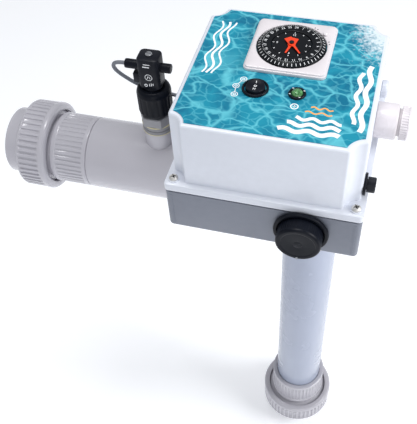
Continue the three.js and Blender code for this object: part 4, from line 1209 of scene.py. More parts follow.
@dataclass
class ControlBox(Assembly):
    """The square electronics box: base, lid with scooped corners, and printed panel."""

    centre: tuple[float, float] = BOX_CENTRE
    lid_side: float = 165.0
    notch: float = 13.0
    flange_side: float = 175.5
    base_side: float = 174.5
    base_low: float = 573.5
    flange_low: float = 621.5
    flange_top: float = 629.5
    shell_top: float = 697.9
    top: float = PANEL_TOP
    wall: float = 2.6
    roof: float = 3.0
    base_high: float = 620.0
    margin: float = 4.0
    web_at: float = 74.2
    web_side: float = 25.0
    screw_at: float = 80.0
    screw_top: float = 632.6
    cross_reach: float = 2.7

    def build(self) -> None:
        """Makes the lid, the flange, the base, the panel and the screws' seats."""
        self.build_lid()
        self.build_base()
        self.build_panel()
        self.build_seats()

    def scooped(self, inset: float, z: float) -> list[Vector]:
        """The lid's outline, set in by a margin, at a height."""
        return raised_ring(scooped_square(self.lid_side, self.notch, inset), self.centre, z)

    def square(self, side: float, radius: float, z: float) -> list[Vector]:
        """A rounded square about the box's centre at a height."""
        return raised_ring(rounded_square(side, radius), self.centre, z)

    def build_lid(self) -> None:
        """Makes the hollow lid and its flange."""
        wall, roof, low = self.wall, self.shell_top - self.roof, self.flange_top - 0.4
        curve = [(0.0, 2.4), (0.16, 1.5), (0.7, 0.7), (1.5, 0.16), (2.4, 0.0)]
        rings = [self.scooped(wall, roof), self.scooped(wall, low), self.scooped(0.0, low)]
        rings += [self.scooped(inset, self.shell_top - drop) for inset, drop in curve]
        self.put("lid", shell("lid", rings), "lid_grey", ["lid_shell"])
        side, inner = self.flange_side, self.lid_side - 7
        low, high = self.flange_low, self.flange_top
        ring = [
            self.square(inner, 3, low),
            self.square(side - 1.6, 3.2, low),
            self.square(side - 0.4, 3.8, low + 0.3),
            self.square(side, 4, low + 1.0),
            self.square(side, 4, high - 1.6),
            self.square(side - 0.6, 3.8, high - 0.5),
            self.square(side - 2.4, 3, high),
            self.square(inner, 3, high),
        ]
        self.put("lid_flange", shell("lid_flange", ring, closed=True), "lid_grey")
        webs = []
        outline = rounded_block(self.web_side, self.web_side, 3)
        for sx, sy in CORNERS:
            at = (self.centre[0] + sx * self.web_at, self.centre[1] + sy * self.web_at)
            rows = [raised_ring(outline, at, z) for z in (low + 0.4, high - 0.05)]
            webs.append(shell("web", rows))
        self.put("flange_webs", merged("flange_webs", webs), "lid_grey")

    def build_base(self) -> None:
        """Makes the tray below the lid, and the raised strips at its front corners."""
        side, low, high = self.base_side, self.base_low, self.base_high
        rings = [
            self.square(side - 5, 2.0, high),
            self.square(side - 5, 2.0, low + 2.6),
            self.square(side - 5, 2.0, low + 2.5),
        ]
        outer = [
            self.square(side, 4, high),
            self.square(side, 4, low + 2.0),
            self.square(side - 0.8, 3.8, low + 0.7),
            self.square(side - 3.4, 3, low),
        ]
        mesh = shell("base", rings[::-1] + outer)
        self.put("base", mesh, "base_grey", ["base_shell"])
        pads = []
        for sign in (-1, 1):
            x = self.centre[0] + sign * (side / 2 - 5.4)
            y = self.centre[1] - side / 2
            spot = Spot((x, y, (low + high) / 2), Facing.FRONT)
            outline = [(-1.1, -20), (1.1, -20), (1.1, 20), (-1.1, 20)]
            pads.append(plate(spot, outline, -0.6, 0.25))
        self.put("base_edges", merged("base_edges", pads), "base_grey", bevel=0.2)

    def build_panel(self) -> None:
        """Makes the printed film with its white swell marks."""
        fit = self.shell_top
        rings = [self.scooped(self.margin, fit), self.scooped(self.margin, self.top)]
        self.put("panel_print", shell("panel_print", rings), "water_print",
                 ["front_label"], "label_film")
        spot = Spot((*self.centre, self.top))
        swells = []
        for row, (y, wide) in enumerate(((-68.5, 4.6), (-61.0, 4.2), (-53.8, 3.4))):
            start = 9 + 6 * row
            swells.append(ribbon(spot, wave(start, 58, y, 1.6, 5, row, 40), wide, 0.0, PRINT))
        for row, (x, wide) in enumerate(((72.5, 4.4), (65.6, 3.6))):
            low, high = -60 + 8 * row, 22 - 10 * row
            line = [(across, along) for along, across in wave(low, high, x, 1.5, 6, row, 48)]
            swells.append(ribbon(spot, line, wide, 0.0, PRINT))
        for x, wide in ((-69, 1.6), (-63.5, 2.2), (-58, 1.6)):
            line = [(across, along) for along, across in wave(-14, 60, x, 2.4, 5, x, 30)]
            swells.append(ribbon(spot, line, wide, 0.0, PRINT))
        self.mark("panel_swells", swells)
        warm = []
        for row, y in enumerate((-45.5, -39.5)):
            line = wave(27 + 4 * row, 49, y, 1.2, 4, 0.0, 30)
            warm.append(ribbon(spot, line, 1.5, 0.0, PRINT))
        self.mark("panel_ripples", warm, "print_orange")

    def build_seats(self) -> None:
        """Makes the raised seats of the lid's screws and dresses the screws; thin black crosses on
        the heads are painted shade in the cross slots.
        """
        seats, slot_shades = [], []
        profile: Profile = [(AXIS, -2), (5, -2), (5, 1.1), (AXIS, 1.1)]
        for k, (sx, sy) in enumerate(CORNERS):
            at = (self.centre[0] + sx * self.screw_at, self.centre[1] + sy * self.screw_at)
            seats.append(turned("seat", Spot((*at, self.flange_top)), profile, 32, 0.4))
            self.dress(f"lid_screw_{k + 1}", "screw_zinc", 0.5)
            head, reach = Spot((*at, self.screw_top)), self.cross_reach
            # Black crosses over each screw head: painted shade for the cross slot.
            for turn in (0.6, 0.6 + math.pi / 2):
                slot_shades.append(plate(head, spoke(turn, -reach, reach, 0.62), 0.0, 0.74))
        self.put("screw_seats", merged("screw_seats", seats), "lid_grey")
        self.mark("screw_slot_shade", slot_shades, "dial_black", "black_plastic")
        self.dress("lid_gasket", "rubber", 0.1)


@dataclass
class TimeSwitch(Assembly):
    """The day time switch: square plate, turning hour ring, clock hands and lever."""

    middle: tuple[float, float] = (-29.2, -16.1)
    low: float = PANEL_TOP
    plate_height: float = 4.5
    ring_low: float = 700.0
    face_height: float = 704.6
    ring_outer: float = 30.2
    ring_inner: float = 18.0
    ring_marks: int = 96
    number_radius: float = 23.0
    clock_number_radius: float = 12.9

    def build(self) -> None:
        """Makes the plate, the ring with its numbers, the clock face and the hands."""
        self.build_plate()
        self.build_ring()
        self.build_face()
        self.dress("timer_override_lever", "white_plastic", 0.2)
        self.dress("timer_hour_hand", "hand_orange", 0.12)
        self.dress("timer_minute_hand", "hand_orange", 0.12)

    def build_plate(self) -> None:
        """Makes the stepped white plate with its round opening and lever marks."""
        def level(side: float, radius: float, z: float) -> list[Vector]:
            """One level of the plate's outside."""
            return raised_ring(rounded_square(side, radius, 9, 8), self.middle, z)

        def hole(radius: float, z: float) -> list[Vector]:
            """One level of its opening."""
            outline = round_match(rounded_square(60, 5, 9, 8), radius)
            return raised_ring(outline, self.middle, z)

        low = self.low
        rings = [
            hole(31.6, low), level(71.6, 4.8, low), level(72, 5, low + 0.3),
            level(72, 5, low + 2.2), level(71.7, 4.9, low + 2.7), level(71, 4.6, low + 3.0),
            level(70, 4.2, low + 3.05), level(69.8, 4.1, low + 3.6), level(69.2, 3.8, low + 4.2),
            level(68, 3.4, low + self.plate_height), hole(31.9, low + self.plate_height),
            hole(31.3, low + 4.3), hole(31.0, low + 3.8),
        ]
        self.put("timer_frame", shell("timer_frame", rings, closed=True), "white_plastic",
                 ["timer_plate"])
        spot = Spot((*self.middle, low + self.plate_height))
        marks = [
            plate(spot, spoke(math.radians(90 - turn), 32.2, 33.6, 0.8), -PRINT, 0.04)
            for turn in (28.5, 34.0, 70.0, 76.0)
        ]
        self.mark("lever_marks", marks, "dial_black", "black_plastic")

    def build_ring(self) -> None:
        """Makes the turning hour ring with its tappets, ticks and numbers."""
        spot = Spot((*self.middle, self.ring_low))
        outer, inner = self.ring_outer, self.ring_inner
        profile: Profile = [
            (inner, 0.0), (outer, 0.0, 1), (outer, 3.0, 1), (26.4, 5.4), (26.0, 5.5),
            (18.5, 5.2), (inner, 5.0),
        ]
        teeth = Ribbing(count=self.ring_marks, depth=0.45, low=-0.5, high=3.4, fade=0.3, share=0.3)
        mesh = ribbed("hour_ring", spot, profile, [teeth], per_rib=3, fillet=0.2)
        self.put("hour_ring_dial", mesh, "dial_black", ["timer_hour_ring"], "black_plastic",
                 "hour_ring")
        marks = self.quarter_ticks() + self.slope_ticks()
        face = Spot((*self.middle, 705.35))
        for hour in range(24):
            turn = math.pi / 2 - 2 * math.pi * hour / 24
            marks.append(
                numeral(face, str(hour or 24), around(self.number_radius, turn), 2.5,
                        turn - math.pi / 2, -PRINT, 0.1)
            )
        self.mark("hour_numbers", marks, body="hour_ring")

    def quarter_ticks(self) -> list[bpy.types.Mesh]:
        """A tick for each quarter of an hour, longer on the hour.

        Returns:
            The ticks.
        """
        face, ticks = Spot((*self.middle, 705.4)), []
        for i in range(self.ring_marks):
            turn = 2 * math.pi * i / self.ring_marks
            inner, outer = (25.2, 25.7) if i % 4 else (24.9, 25.9)
            ticks.append(plate(face, spoke(turn, inner, outer, 0.34), -PRINT, 0.13))
        return ticks

    def slope_ticks(self) -> list[bpy.types.Mesh]:
        """A tick on every second tappet, lying on the ring's sloping shoulder.

        Returns:
            The ticks.
        """
        count, ticks = self.ring_marks // 2, []
        base = Spot((*self.middle, 703.0))
        for i in range(count):
            outline = spoke(2 * math.pi * (i + 0.5) / count, 27.3, 29.3, 0.5)
            lifts = [5.4 - 2.4 * (math.hypot(*p) - 26.4) / 3.8 - 3.0 for p in outline]
            rows = [
                [base.point(x, y, lift + skin) for (x, y), lift in zip(outline, lifts)]
                for skin in (-0.1, 0.06)
            ]
            ticks.append(shell("tick", rows))
        return ticks

    def build_face(self) -> None:
        """Makes the marks and numbers of the fixed clock face."""
        self.dress("timer_case", "dial_black", 0.2)
        spot = Spot((*self.middle, self.face_height))
        marks = []
        for hour in range(1, 13):
            turn = math.pi / 2 - 2 * math.pi * hour / 12
            marks.append(plate(spot, spoke(turn, 15.4, 16.8, 0.6), 0.0, PRINT))
            if hour % 3 == 0:
                at = around(self.clock_number_radius, turn)
                marks.append(numeral(spot, str(hour), at, 2.4, 0.0, 0.0, PRINT))
        self.mark("clock_marks", marks)


@dataclass
class PanelControls(Assembly):
    """The round rocker switch with its printed labels, and the green lamp."""

    rocker: tuple[float, float] = (-48.5, -73.5)
    lamp: tuple[float, float] = (-13.2, -73.0)
    top: float = PANEL_TOP
    box_middle: tuple[float, float] = BOX_CENTRE
    pivot_height: float = 697.5
    key_radius: float = 8.55
    key_segments: int = 56

    def build(self) -> None:
        """Makes the rocker switch, the lamp and the labels beside them."""
        self.build_rocker()
        self.build_lamp()
        self.build_labels()

    def build_rocker(self) -> None:
        """Makes the bezel and the dished round key with its three marks."""
        spot = Spot((*self.rocker, self.top))
        bezel = bored(
            "rocker_rim", spot,
            [(9.25, 0.3), (11.5, 0.3), (11.5, 1.5), (10.9, 2.4), (9.9, 2.5), (9.25, 2.0)],
            72, 0.35,
        )
        self.put("rocker_rim", bezel, "black_plastic", ["rocker_bezel"])
        pivot = Spot((*self.rocker, self.pivot_height))
        rings = [
            pivot.ring(radius, out, self.key_segments)
            for radius, out in ((7.4, -4.3), (8.5, -1.0), (self.key_radius, 0.5))
        ]
        for radius, drop in ((8.3, 0.9), (8.1, 0.35), (7.8, 0.1), (7.3, 0.0), (5.0, 0.0),
                             (2.5, 0.0), (0.05, 0.0)):
            rings.append(self.key_ring(pivot, radius, drop))
        self.put("rocker_key", shell("rocker_key", rings), "black_plastic", ["rocker"],
                 body="rocker")
        marks = [
            plate(pivot, bar_outline((0, 3.2), (0, 5.6), 0.55), 4.5, 5.15),
            washer(pivot, (0.0, 0.0), 0.75, 1.25, 4.2, 4.42, 28),
            plate(pivot, bar_outline((-0.75, -3.4), (-0.75, -5.6), 0.5), 4.5, 5.15),
            plate(pivot, bar_outline((0.75, -3.4), (0.75, -5.6), 0.5), 4.5, 5.15),
        ]
        self.mark("rocker_marks", marks, body="rocker")

    def key_ring(self, pivot: Spot, radius: float, drop: float) -> list[Vector]:
        """One ring of the key's dished top.

        Args:
            pivot: the middle of the key on its tilting axis.
            radius: the ring's radius.
            drop: how far it lies below the dish.

        Returns:
            Its points.
        """
        low, rise, reach = 4.3, 1.6, 8.0
        limit = math.sqrt(max(0.0, self.key_radius ** 2 - radius * radius)) + 4.4
        ring = []
        for i in range(self.key_segments):
            x, y = around(radius, 2 * math.pi * i / self.key_segments)
            height = low + rise * min(1.0, (y / reach) ** 2) - drop
            ring.append(pivot.point(x, y, min(height, limit)))
        return ring

    def build_lamp(self) -> None:
        """Makes the lamp's black rim and its faceted lens, with small white marks on the rim as
        painted glints.
        """
        spot = Spot((*self.lamp, self.top))
        rim = bored(
            "lamp_rim", spot,
            [(5.2, 0.3), (7.5, 0.3), (7.5, 1.2), (6.9, 2.0), (5.8, 2.1), (5.2, 1.7)], 56, 0.3,
        )
        self.put("lamp_rim", rim, "black_plastic", ["lamp_bezel"])
        facets = [
            spot.ring(5.0, 0.3, 12), spot.ring(5.0, 1.5, 12), spot.ring(4.4, 2.7, 12),
            spot.ring(3.0, 3.5, 12, math.pi / 12), spot.ring(1.2, 3.95, 12),
        ]
        self.put("lamp_jewel", shell("lamp_jewel", facets), "lens_green", ["lamp_lens"],
                 sharp=8.0)
        # Four small white patches on the black rim: painted glints, not print.
        glints = []
        for turn in (0.5, 2.3, 3.6, 5.2):
            x, y = around(6.3, turn)
            outline = [(x + 0.7 * sx, y + 0.4 * sy) for sx, sy in CORNERS]
            glints.append(plate(spot, outline, 1.7, 2.12))
        self.mark("lamp_rim_glints", glints)

    def build_labels(self) -> None:
        """Makes the ring labels beside the rocker and before the lamp."""
        spot = Spot((*self.box_middle, self.top))
        places = ((-30.9, -16.1), (-35.3, -25.6), (-34.2, -36.3))
        marks = []
        for at in places:
            marks.append(washer(spot, at, 2.35, 3.05, 0.0, PRINT))
            marks.append(washer(spot, at, 0.7, 1.4, 0.0, PRINT))
        for (ax, ay), (bx, by) in zip(places, places[1:]):
            way = Vector((bx - ax, by - ay)).normalized() * 3.0
            ends = ((ax + way.x, ay + way.y), (bx - way.x, by - way.y))
            marks.append(plate(spot, bar_outline(*ends, 0.6), 0.0, PRINT))
        x, y = 17.4, -41.0
        marks.append(washer(spot, (x, y), 2.5, 3.5, 0.0, PRINT))
        for dx, dy in ((1.6, 0.0), (0.0, 1.6)):
            bar = bar_outline((x - dx, y - dy), (x + dx, y + dy), 0.6)
            marks.append(plate(spot, bar, 0.0, PRINT))
        self.mark("control_labels", marks)


@dataclass
class OutputKnob(Assembly):
    """The black knob on the base's front wall, in its raised dish."""

    spot: Spot = field(default_factory=lambda: Spot((6.4, -134.25, 599.5), Facing.FRONT))
    dish_radius: float = 24.5
    knob_radius: float = 20.2

    def build(self) -> None:
        """Makes the dish, the knob with its grips and the pointer mark."""
        dish = bored(
            "knob_collar", self.spot,
            [(9.0, 1.1), (self.dish_radius - 1.2, 1.1), (self.dish_radius, 2.2),
             (self.dish_radius, 4.6), (23.6, 5.3), (21.6, 5.3), (20.9, 4.7), (20.9, 2.3),
             (9.0, 2.3)],
            96, 0.4,
        )
        self.put("knob_collar", dish, "black_plastic", ["knob_dish"])
        radius = self.knob_radius
        profile: Profile = [
            (3.6, 2.6), (radius - 0.6, 2.6, 1), (radius, 3.4, 1), (radius, 15.9, 1),
            (radius - 0.5, 17.4), (radius - 1.8, 18.25), (radius - 4.4, 18.1),
            (radius - 5.0, 17.75), (3.6, 17.75),
        ]
        grips = Ribbing(count=60, depth=0.25, low=3.6, high=15.2, fade=1.2, share=0.5)
        mesh = ribbed("knob_cap", self.spot, profile, [grips], per_rib=4, fillet=0.4)
        self.put("knob_cap", mesh, "black_plastic", ["output_knob"], body="knob")
        plug = turned("knob_middle", self.spot, [(AXIS, 3), (4.0, 3), (4.0, 17.9), (AXIS, 17.9)],
                      40, 0.3)
        self.put("knob_middle", plug, "black_plastic", body="knob")
        pointer = [(-0.8, -19.7), (0.8, -19.7), (0.8, -16.9), (-0.8, -16.9)]
        self.mark("knob_pointer", [plate(self.spot, pointer, 17.3, 18.29)], "print_grey",
                  body="knob")


@dataclass
class SideFittings(Assembly):
    """The fuse holder, the outlet and the blanking plug on the box's right wall."""

    wall: float = 52.5
    fuse_at: tuple[float, float] = (-107.0, 641.0)
    outlet_at: tuple[float, float] = (-42.0, 655.5)
    plug_at: tuple[float, float] = (-2.0, 656.5)

    def on_wall(self, place: tuple[float, float]) -> Spot:
        """A spot on the wall that points away from the box."""
        return Spot((self.wall, *place), Facing.RIGHT)

    def build(self) -> None:
        """Makes the fuse holder, then the outlet and the plug beside it."""
        self.build_fuse()
        self.build_outlet()

    def build_fuse(self) -> None:
        """Makes the fuse holder's flange and its slotted cap."""
        spot = self.on_wall(self.fuse_at)
        flange = turned("fuse_flange", spot, [(AXIS, 0.1), (9.8, 0.1), (9.8, 2.5), (AXIS, 2.5)],
                        56, 0.6)
        self.put("fuse_flange", flange, "black_plastic", ["fuse_holder"])
        self.dress("fuse_cap", "black_plastic", 0.4)
        self.dress("fuse_cartridge", "steel", 0.1)

    def build_outlet(self) -> None:
        """Makes the outlet's stepped body, its turning cap and the blanking plug."""
        spot = self.on_wall(self.outlet_at)
        body = bored(
            "outlet_barrel", spot,
            [(8.4, 0.2), (16.0, 0.2), (16.0, 17.6), (15.2, 19.0), (12.3, 19.0), (12.1, 24.4),
             (8.4, 24.4)],
            72, 0.7,
        )
        self.put("outlet_barrel", body, "white_plastic", ["outlet_body"])
        cap_profile: Profile = [
            (12.75, 21.5), (15.2, 21.5, 1), (15.2, 28.0, 1), (14.4, 29.1), (8.5, 29.1),
            (8.5, 27.3), (12.75, 27.3),
        ]
        grips = Ribbing(count=40, depth=0.5, low=21.9, high=27.9, fade=0.5, share=0.4)
        cap = ribbed("outlet_ring", spot, cap_profile, [grips], 6, 0.3)
        self.put("outlet_ring", cap, "white_plastic", ["outlet_cap"], body="outlet_cap")
        plug = turned(
            "plug_head", self.on_wall(self.plug_at),
            [(AXIS, 0.1), (8.3, 0.1), (8.3, 4.8), (7.0, 6.3), (AXIS, 6.3)], 48, 0.8,
        )
        self.put("plug_head", plug, "lid_grey", ["blanking_plug"])
        self.dress("outlet_seal", "rubber", 0.1)


@dataclass
class Union(Assembly):
    """A pipe union: ribbed collar on the cell, ribbed nut and plain tail."""

    side: str = "lower"
    spot: Spot = field(default_factory=lambda: Spot((0, 0, 100), Facing.DOWN))
    collar: float = 37.5
    flare: float = 0.6

    def build(self) -> None:
        """Makes the collar, the nut and the tail."""
        self.build_collar()
        self.build_nut()
        self.build_tail()
        self.dress(f"{self.side}_seal_ring", "rubber")

    def build_collar(self) -> None:
        """Makes the collar with its belt of ribs and its screw thread."""
        r, bore = self.collar, 31.8
        flange = r + self.flare
        thread: Profile = []
        for k in range(3):
            low = 49.5 + 3.4 * k
            thread += [(39.9, low), (41.5, low + 0.9), (41.5, low + 1.7), (39.9, low + 2.6)]
        profile: Profile = [
            (bore, 0.2), (r - 1.2, 0.2), (r, 0.9, 1), (r, 37.5, 1), (flange + 0.3, 38.2),
            (flange + 0.3, 42.3), (36.6, 42.7), (36.6, 48.6), *thread, (39.9, 59.8),
            (28.0, 59.8), (28.0, 36.0), (bore, 36.0),
        ]
        belt = Ribbing(count=45, depth=0.95, low=5.5, high=36.8, fade=0.8, share=0.32)
        mesh = ribbed(f"{self.side}_socket", self.spot, profile, [belt], 8, 0.4)
        self.put(f"{self.side}_socket", mesh, "pipe_grey", [f"{self.side}_collar"])

    def build_nut(self) -> None:
        """Makes the union nut with its wide ribs and rounded lip."""
        profile: Profile = [
            (42.3, 45.9), (44.6, 45.5), (48.4, 46.1), (50.2, 48.0), (50.5, 50.0),
            (50.5, 52.4), (49.9, 53.4, 1), (49.9, 77.8, 1), (49.2, 79.4), (47.0, 81.0),
            (44.0, 81.5), (38.3, 81.5), (38.3, 77.0), (42.3, 76.4),
        ]
        grips = Ribbing(count=48, depth=1.5, low=53.2, high=78.2, fade=2.6, share=0.5)
        mesh = ribbed(f"{self.side}_nut_ring", self.spot, profile, [grips], 10, 0.6)
        self.put(f"{self.side}_nut_ring", mesh, "pipe_grey", [f"{self.side}_union_nut"],
                 body=f"{self.side}_nut")

    def build_tail(self) -> None:
        """Makes the tail, a plain ring with a socket for the pool's pipe."""
        profile: Profile = [
            (28.0, 60.3), (41.5, 60.3), (41.5, 67.8), (37.7, 68.2), (37.7, 98.4), (36.6, 99.8),
            (32.9, 99.95), (31.8, 99.0), (31.8, 64.0), (28.0, 64.0),
        ]
        mesh = bored(f"{self.side}_tail_ring", self.spot, profile, 96, 0.5)
        self.put(f"{self.side}_tail_ring", mesh, "pipe_grey", [f"{self.side}_union_tail"],
                 body=f"{self.side}_tail")


@dataclass
class ElectrodeCell(Assembly):
    """The pipework that holds the electrodes, with the clamp that carries the box."""

    run_height: float = RUN_HEIGHT
    run_radius: float = 40.0
    run_bore: float = 33.5
    run_length: float = 296.3
    right_end: float = 45.3
    left_end: float = RUN_LEFT_END
    branch_radius: float = 37.5
    branch_start: float = 12.0
    drop_radius: float = 31.5
    drop_bore: float = 27.9
    drop_low: float = 64.0
    drop_length: float = 399.0

    def build(self) -> None:
        """Makes the tee, the drop pipe and the clamp, and dresses what is inside."""
        self.build_run()
        self.build_branches()
        self.build_cap()
        drop = bored(
            "drop_pipe_painted_shade", Spot((0, 0, self.drop_low)),
            [(self.drop_bore, 0), (self.drop_radius, 0), (self.drop_radius, self.drop_length),
             (self.drop_bore, self.drop_length)],
            96, 0.4,
        )
        # The drop pipe is pipe_grey PVC; its finish is a darker copy of it, painted shade.
        self.put("drop_pipe_painted_shade", drop, "drop_pipe_painted_shade", ["vertical_pipe"], "pipe_grey")
        for node in ("pipe_saddle", "saddle_strap", "electrode_head"):
            self.dress(node, "clamp_grey", 0.5)
        for node in ("saddle_bolt_1", "saddle_bolt_2"):
            self.dress(node, "steel", 0.3)
        for plate_number in (1, 2, 3):
            self.dress(f"electrode_plate_{plate_number}", "titanium", 0.1)

    def build_run(self) -> None:
        """Makes the level tube."""
        tube = bored(
            "cell_run", Spot((self.left_end, 0, self.run_height), Facing.RIGHT),
            [(self.run_bore, 0.2), (self.run_radius - 0.4, 0.2), (self.run_radius, 0.8),
             (self.run_radius, self.run_length), (self.run_bore, self.run_length)],
            112, 0.5,
        )
        self.put("cell_run", tube, "pipe_grey", ["cell_tee"])

    def build_cap(self) -> None:
        """Makes the cap on the run's right-hand end."""
        cap = turned(
            "cell_end", Spot((self.right_end, 0, self.run_height), Facing.RIGHT),
            [(AXIS, 0), (39.8, 0), (40.0, 5), (37.6, 7.9), (AXIS, 8.0)], 96, 1.4,
        )
        self.put("cell_end", cap, "pipe_grey", ["run_end_cap"])

    def build_branches(self) -> None:
        """Makes the neck above the run and the socket below it, both from inside its wall."""
        skin, start = self.branch_radius, self.branch_start
        neck = bored(
            "cell_neck", Spot((0, 0, self.run_height)),
            [(31.5, 34), (skin, start), (skin, 59.8), (44, 60.4), (44, 66.1), (31.5, 66.1)],
            96, 0.6,
        )
        self.put("cell_neck", neck, "pipe_grey")
        socket = bored(
            "cell_socket", Spot((0, 0, self.run_height), Facing.DOWN),
            [(32.0, 34), (skin, start), (skin, 67.4), (36.6, 68.8), (32.0, 68.8)], 96, 0.6,
        )
        self.put("cell_socket", socket, "pipe_grey")


@dataclass
class FlowSwitch(Assembly):
    """The flow switch on the run: adapter, nut, block with its reed bar, and cable gland."""

    x: float = -172.0
    boss_base: float = 520.0
    adapter_base: float = 560.0
    hexagon: float = 33.0
    front_face: float = -10.0
    gland_hexagon: float = 16.4
    gland_at: tuple[float, float, float] = (-117.25, 19.0, 590.5)

    def build(self) -> None:
        """Makes the pieces from the run upwards, then the gland on the box."""
        self.build_adapter()
        self.build_nut()
        self.build_block()
        self.build_gland()
        self.dress("flow_slip_ring", "rubber")
        self.dress("flow_paddle", "black_plastic", 0.2)
        self.dress("paddle_pin", "steel")

    def build_adapter(self) -> None:
        """Makes the boss and the threaded adapter with its hexagon and sealing lines."""
        boss = turned(
            "switch_boss", Spot((self.x, 0, self.boss_base)),
            [(AXIS, 16), (16.6, 16), (16.2, 30), (16.2, 44.5), (AXIS, 44.5)], 56, 0.8,
        )
        self.put("switch_boss", boss, "pipe_grey", ["flow_boss"])
        spot = Spot((self.x, 0, self.adapter_base))
        lower = turned(
            "adapter_lower", spot,
            [(AXIS, 4.8), (16.8, 4.8), (16.8, 8.9), (15.9, 9.4), (15.9, 10.2), (16.8, 10.7),
             (16.8, 14.6), (AXIS, 14.6)],
            64, 0.3,
        )
        self.put("adapter_lower", lower, "adapter_grey", ["flow_adapter"], "clamp_grey")
        across = self.hexagon / math.sqrt(3)
        hexagon = shell("adapter_hex", [
            spot.ring(across * 0.95, 15.0, 6), spot.ring(across, 15.9, 6),
            spot.ring(across, 26.0, 6), spot.ring(across * 0.95, 26.9, 6),
        ])
        self.put("adapter_hex", hexagon, "adapter_grey", slot="clamp_grey", sharp=SHARP_FACETS)
        stub = turned("adapter_stub", spot,
                      [(AXIS, 26), (13.9, 26), (13.9, 45.4), (AXIS, 45.4)], 40, 0.3)
        self.put("adapter_stub", stub, "adapter_grey", slot="clamp_grey")
        lines = [
            bored("line", spot, [(15.0, low), (17.0, low), (17.0, high), (15.0, high)], 56, 0.1)
            for low, high in ((14.1, 15.6), (4.3, 5.4))
        ]
        self.mark("sealing_lines", lines, "sealant", "white_plastic")

    def build_nut(self) -> None:
        """Makes the round-shouldered switch nut."""
        profile: Profile = [
            (14.3, 587.4), (14.6, 587.4), (17.2, 588.6), (18.0, 591.0, 1), (18.0, 614.4, 1),
            (16.8, 618.0), (14.6, 620.2), (11.2, 620.5), (11.2, 613.0), (14.3, 613.0),
        ]
        grips = Ribbing(count=18, depth=0.5, low=592.5, high=613.5, fade=1.6, share=0.3)
        mesh = ribbed("switch_nut", Spot((self.x, 0, 0)), profile, [grips], 8, 0.8)
        self.put("switch_nut", mesh, "black_plastic", ["flow_nut"], body="flow_nut")

    def build_block(self) -> None:
        """Makes the switch block with its reed bar, lug, ring emblem and marks."""
        stem = turned(
            "switch_stem", Spot((self.x, 0, 0)),
            [(AXIS, 612.6), (10.4, 612.6), (10.4, 623.0), (AXIS, 623.0)], 48, 0.4,
        )
        self.put("switch_stem", stem, "black_plastic", ["flow_body"])
        rings = []
        for inset, z in ((1.4, 622.7), (0.4, 623.1), (0.0, 624.2), (0.0, 656.4), (0.5, 657.8),
                         (1.7, 658.5)):
            outline = rounded_block(23 - 2 * inset, 20 - 2 * inset, 5 - inset * 0.8)
            rings.append(raised_ring(outline, (self.x, 0), z))
        self.put("switch_block", shell("switch_block", rings), "black_plastic")
        lug_rings = []
        for inset, z in ((0.6, 624.6), (0.0, 625.4), (0.0, 635.6), (0.6, 636.4)):
            outline = rounded_block(8.4 - 2 * inset, 10 - 2 * inset, 1.6)
            lug_rings.append(raised_ring(outline, (self.x - 14.4, 0), z))
        self.put("switch_lug", shell("switch_lug", lug_rings), "black_plastic")
        bar = turned(
            "switch_bar", Spot((self.x - 26.3, 0, 644.5), Facing.RIGHT),
            [(AXIS, 0.05), (4.6, 0.05), (4.9, 1.2), (4.9, 14.5), (4.2, 15.2), (4.2, 33.0),
             (4.9, 33.8), (4.9, 46.8), (4.6, 47.95), (AXIS, 47.95)],
            40, 0.4,
        )
        self.put("switch_bar", bar, "black_plastic", ["reed_bar"])
        self.dress("flow_head_screw", "steel", 0.25)
        self.build_marks()

    def build_marks(self) -> None:
        """Makes the plain rings and bars that stand for the block's print."""
        front = Spot((self.x, self.front_face, 0), Facing.FRONT)
        skin = 0.1
        rings = (((0.5, 638.0), 3.3, 3.9), ((-3.2, 627.8), 1.0, 1.8))
        bars = (
            ((-1.0, 636.4), (0.0, 639.4), 0.7), ((0.9, 639.4), (2.0, 636.4), 0.7),
            ((0.6, 627.0), (0.6, 630.2), 0.8), ((2.6, 627.4), (2.6, 631.0), 0.8),
            ((4.4, 628.4), (4.4, 631.0), 0.8), ((-4.4, 650.6), (2.4, 650.6), 1.2),
            ((-3.4, 653.6), (3.4, 653.6), 0.9),
        )
        marks = [washer(front, at, inner, outer, -skin, skin) for at, inner, outer in rings]
        marks += [plate(front, bar_outline(*bar), -skin, skin) for bar in bars]
        self.mark("switch_marks", marks)

    def build_gland(self) -> None:
        """Makes the cable gland on the box's left wall."""
        spot = Spot(self.gland_at, Facing.LEFT)
        across = self.gland_hexagon / math.sqrt(3)
        nut = shell("gland_nut", [
            spot.ring(radius, out, 6)
            for radius, out in ((across, 0.05), (across, 4.3), (across * 0.94, 5.0))
        ])
        self.put("gland_nut", nut, "black_plastic", ["sensor_gland"], sharp=SHARP_FACETS)
        cone = bored(
            "gland_cone", spot,
            [(2.35, 4.5), (7.2, 4.5), (7.2, 7.6), (5.4, 12.6), (4.2, 14.0), (2.35, 14.0)], 40, 0.5,
        )
        self.put("gland_cone", cone, "black_plastic")


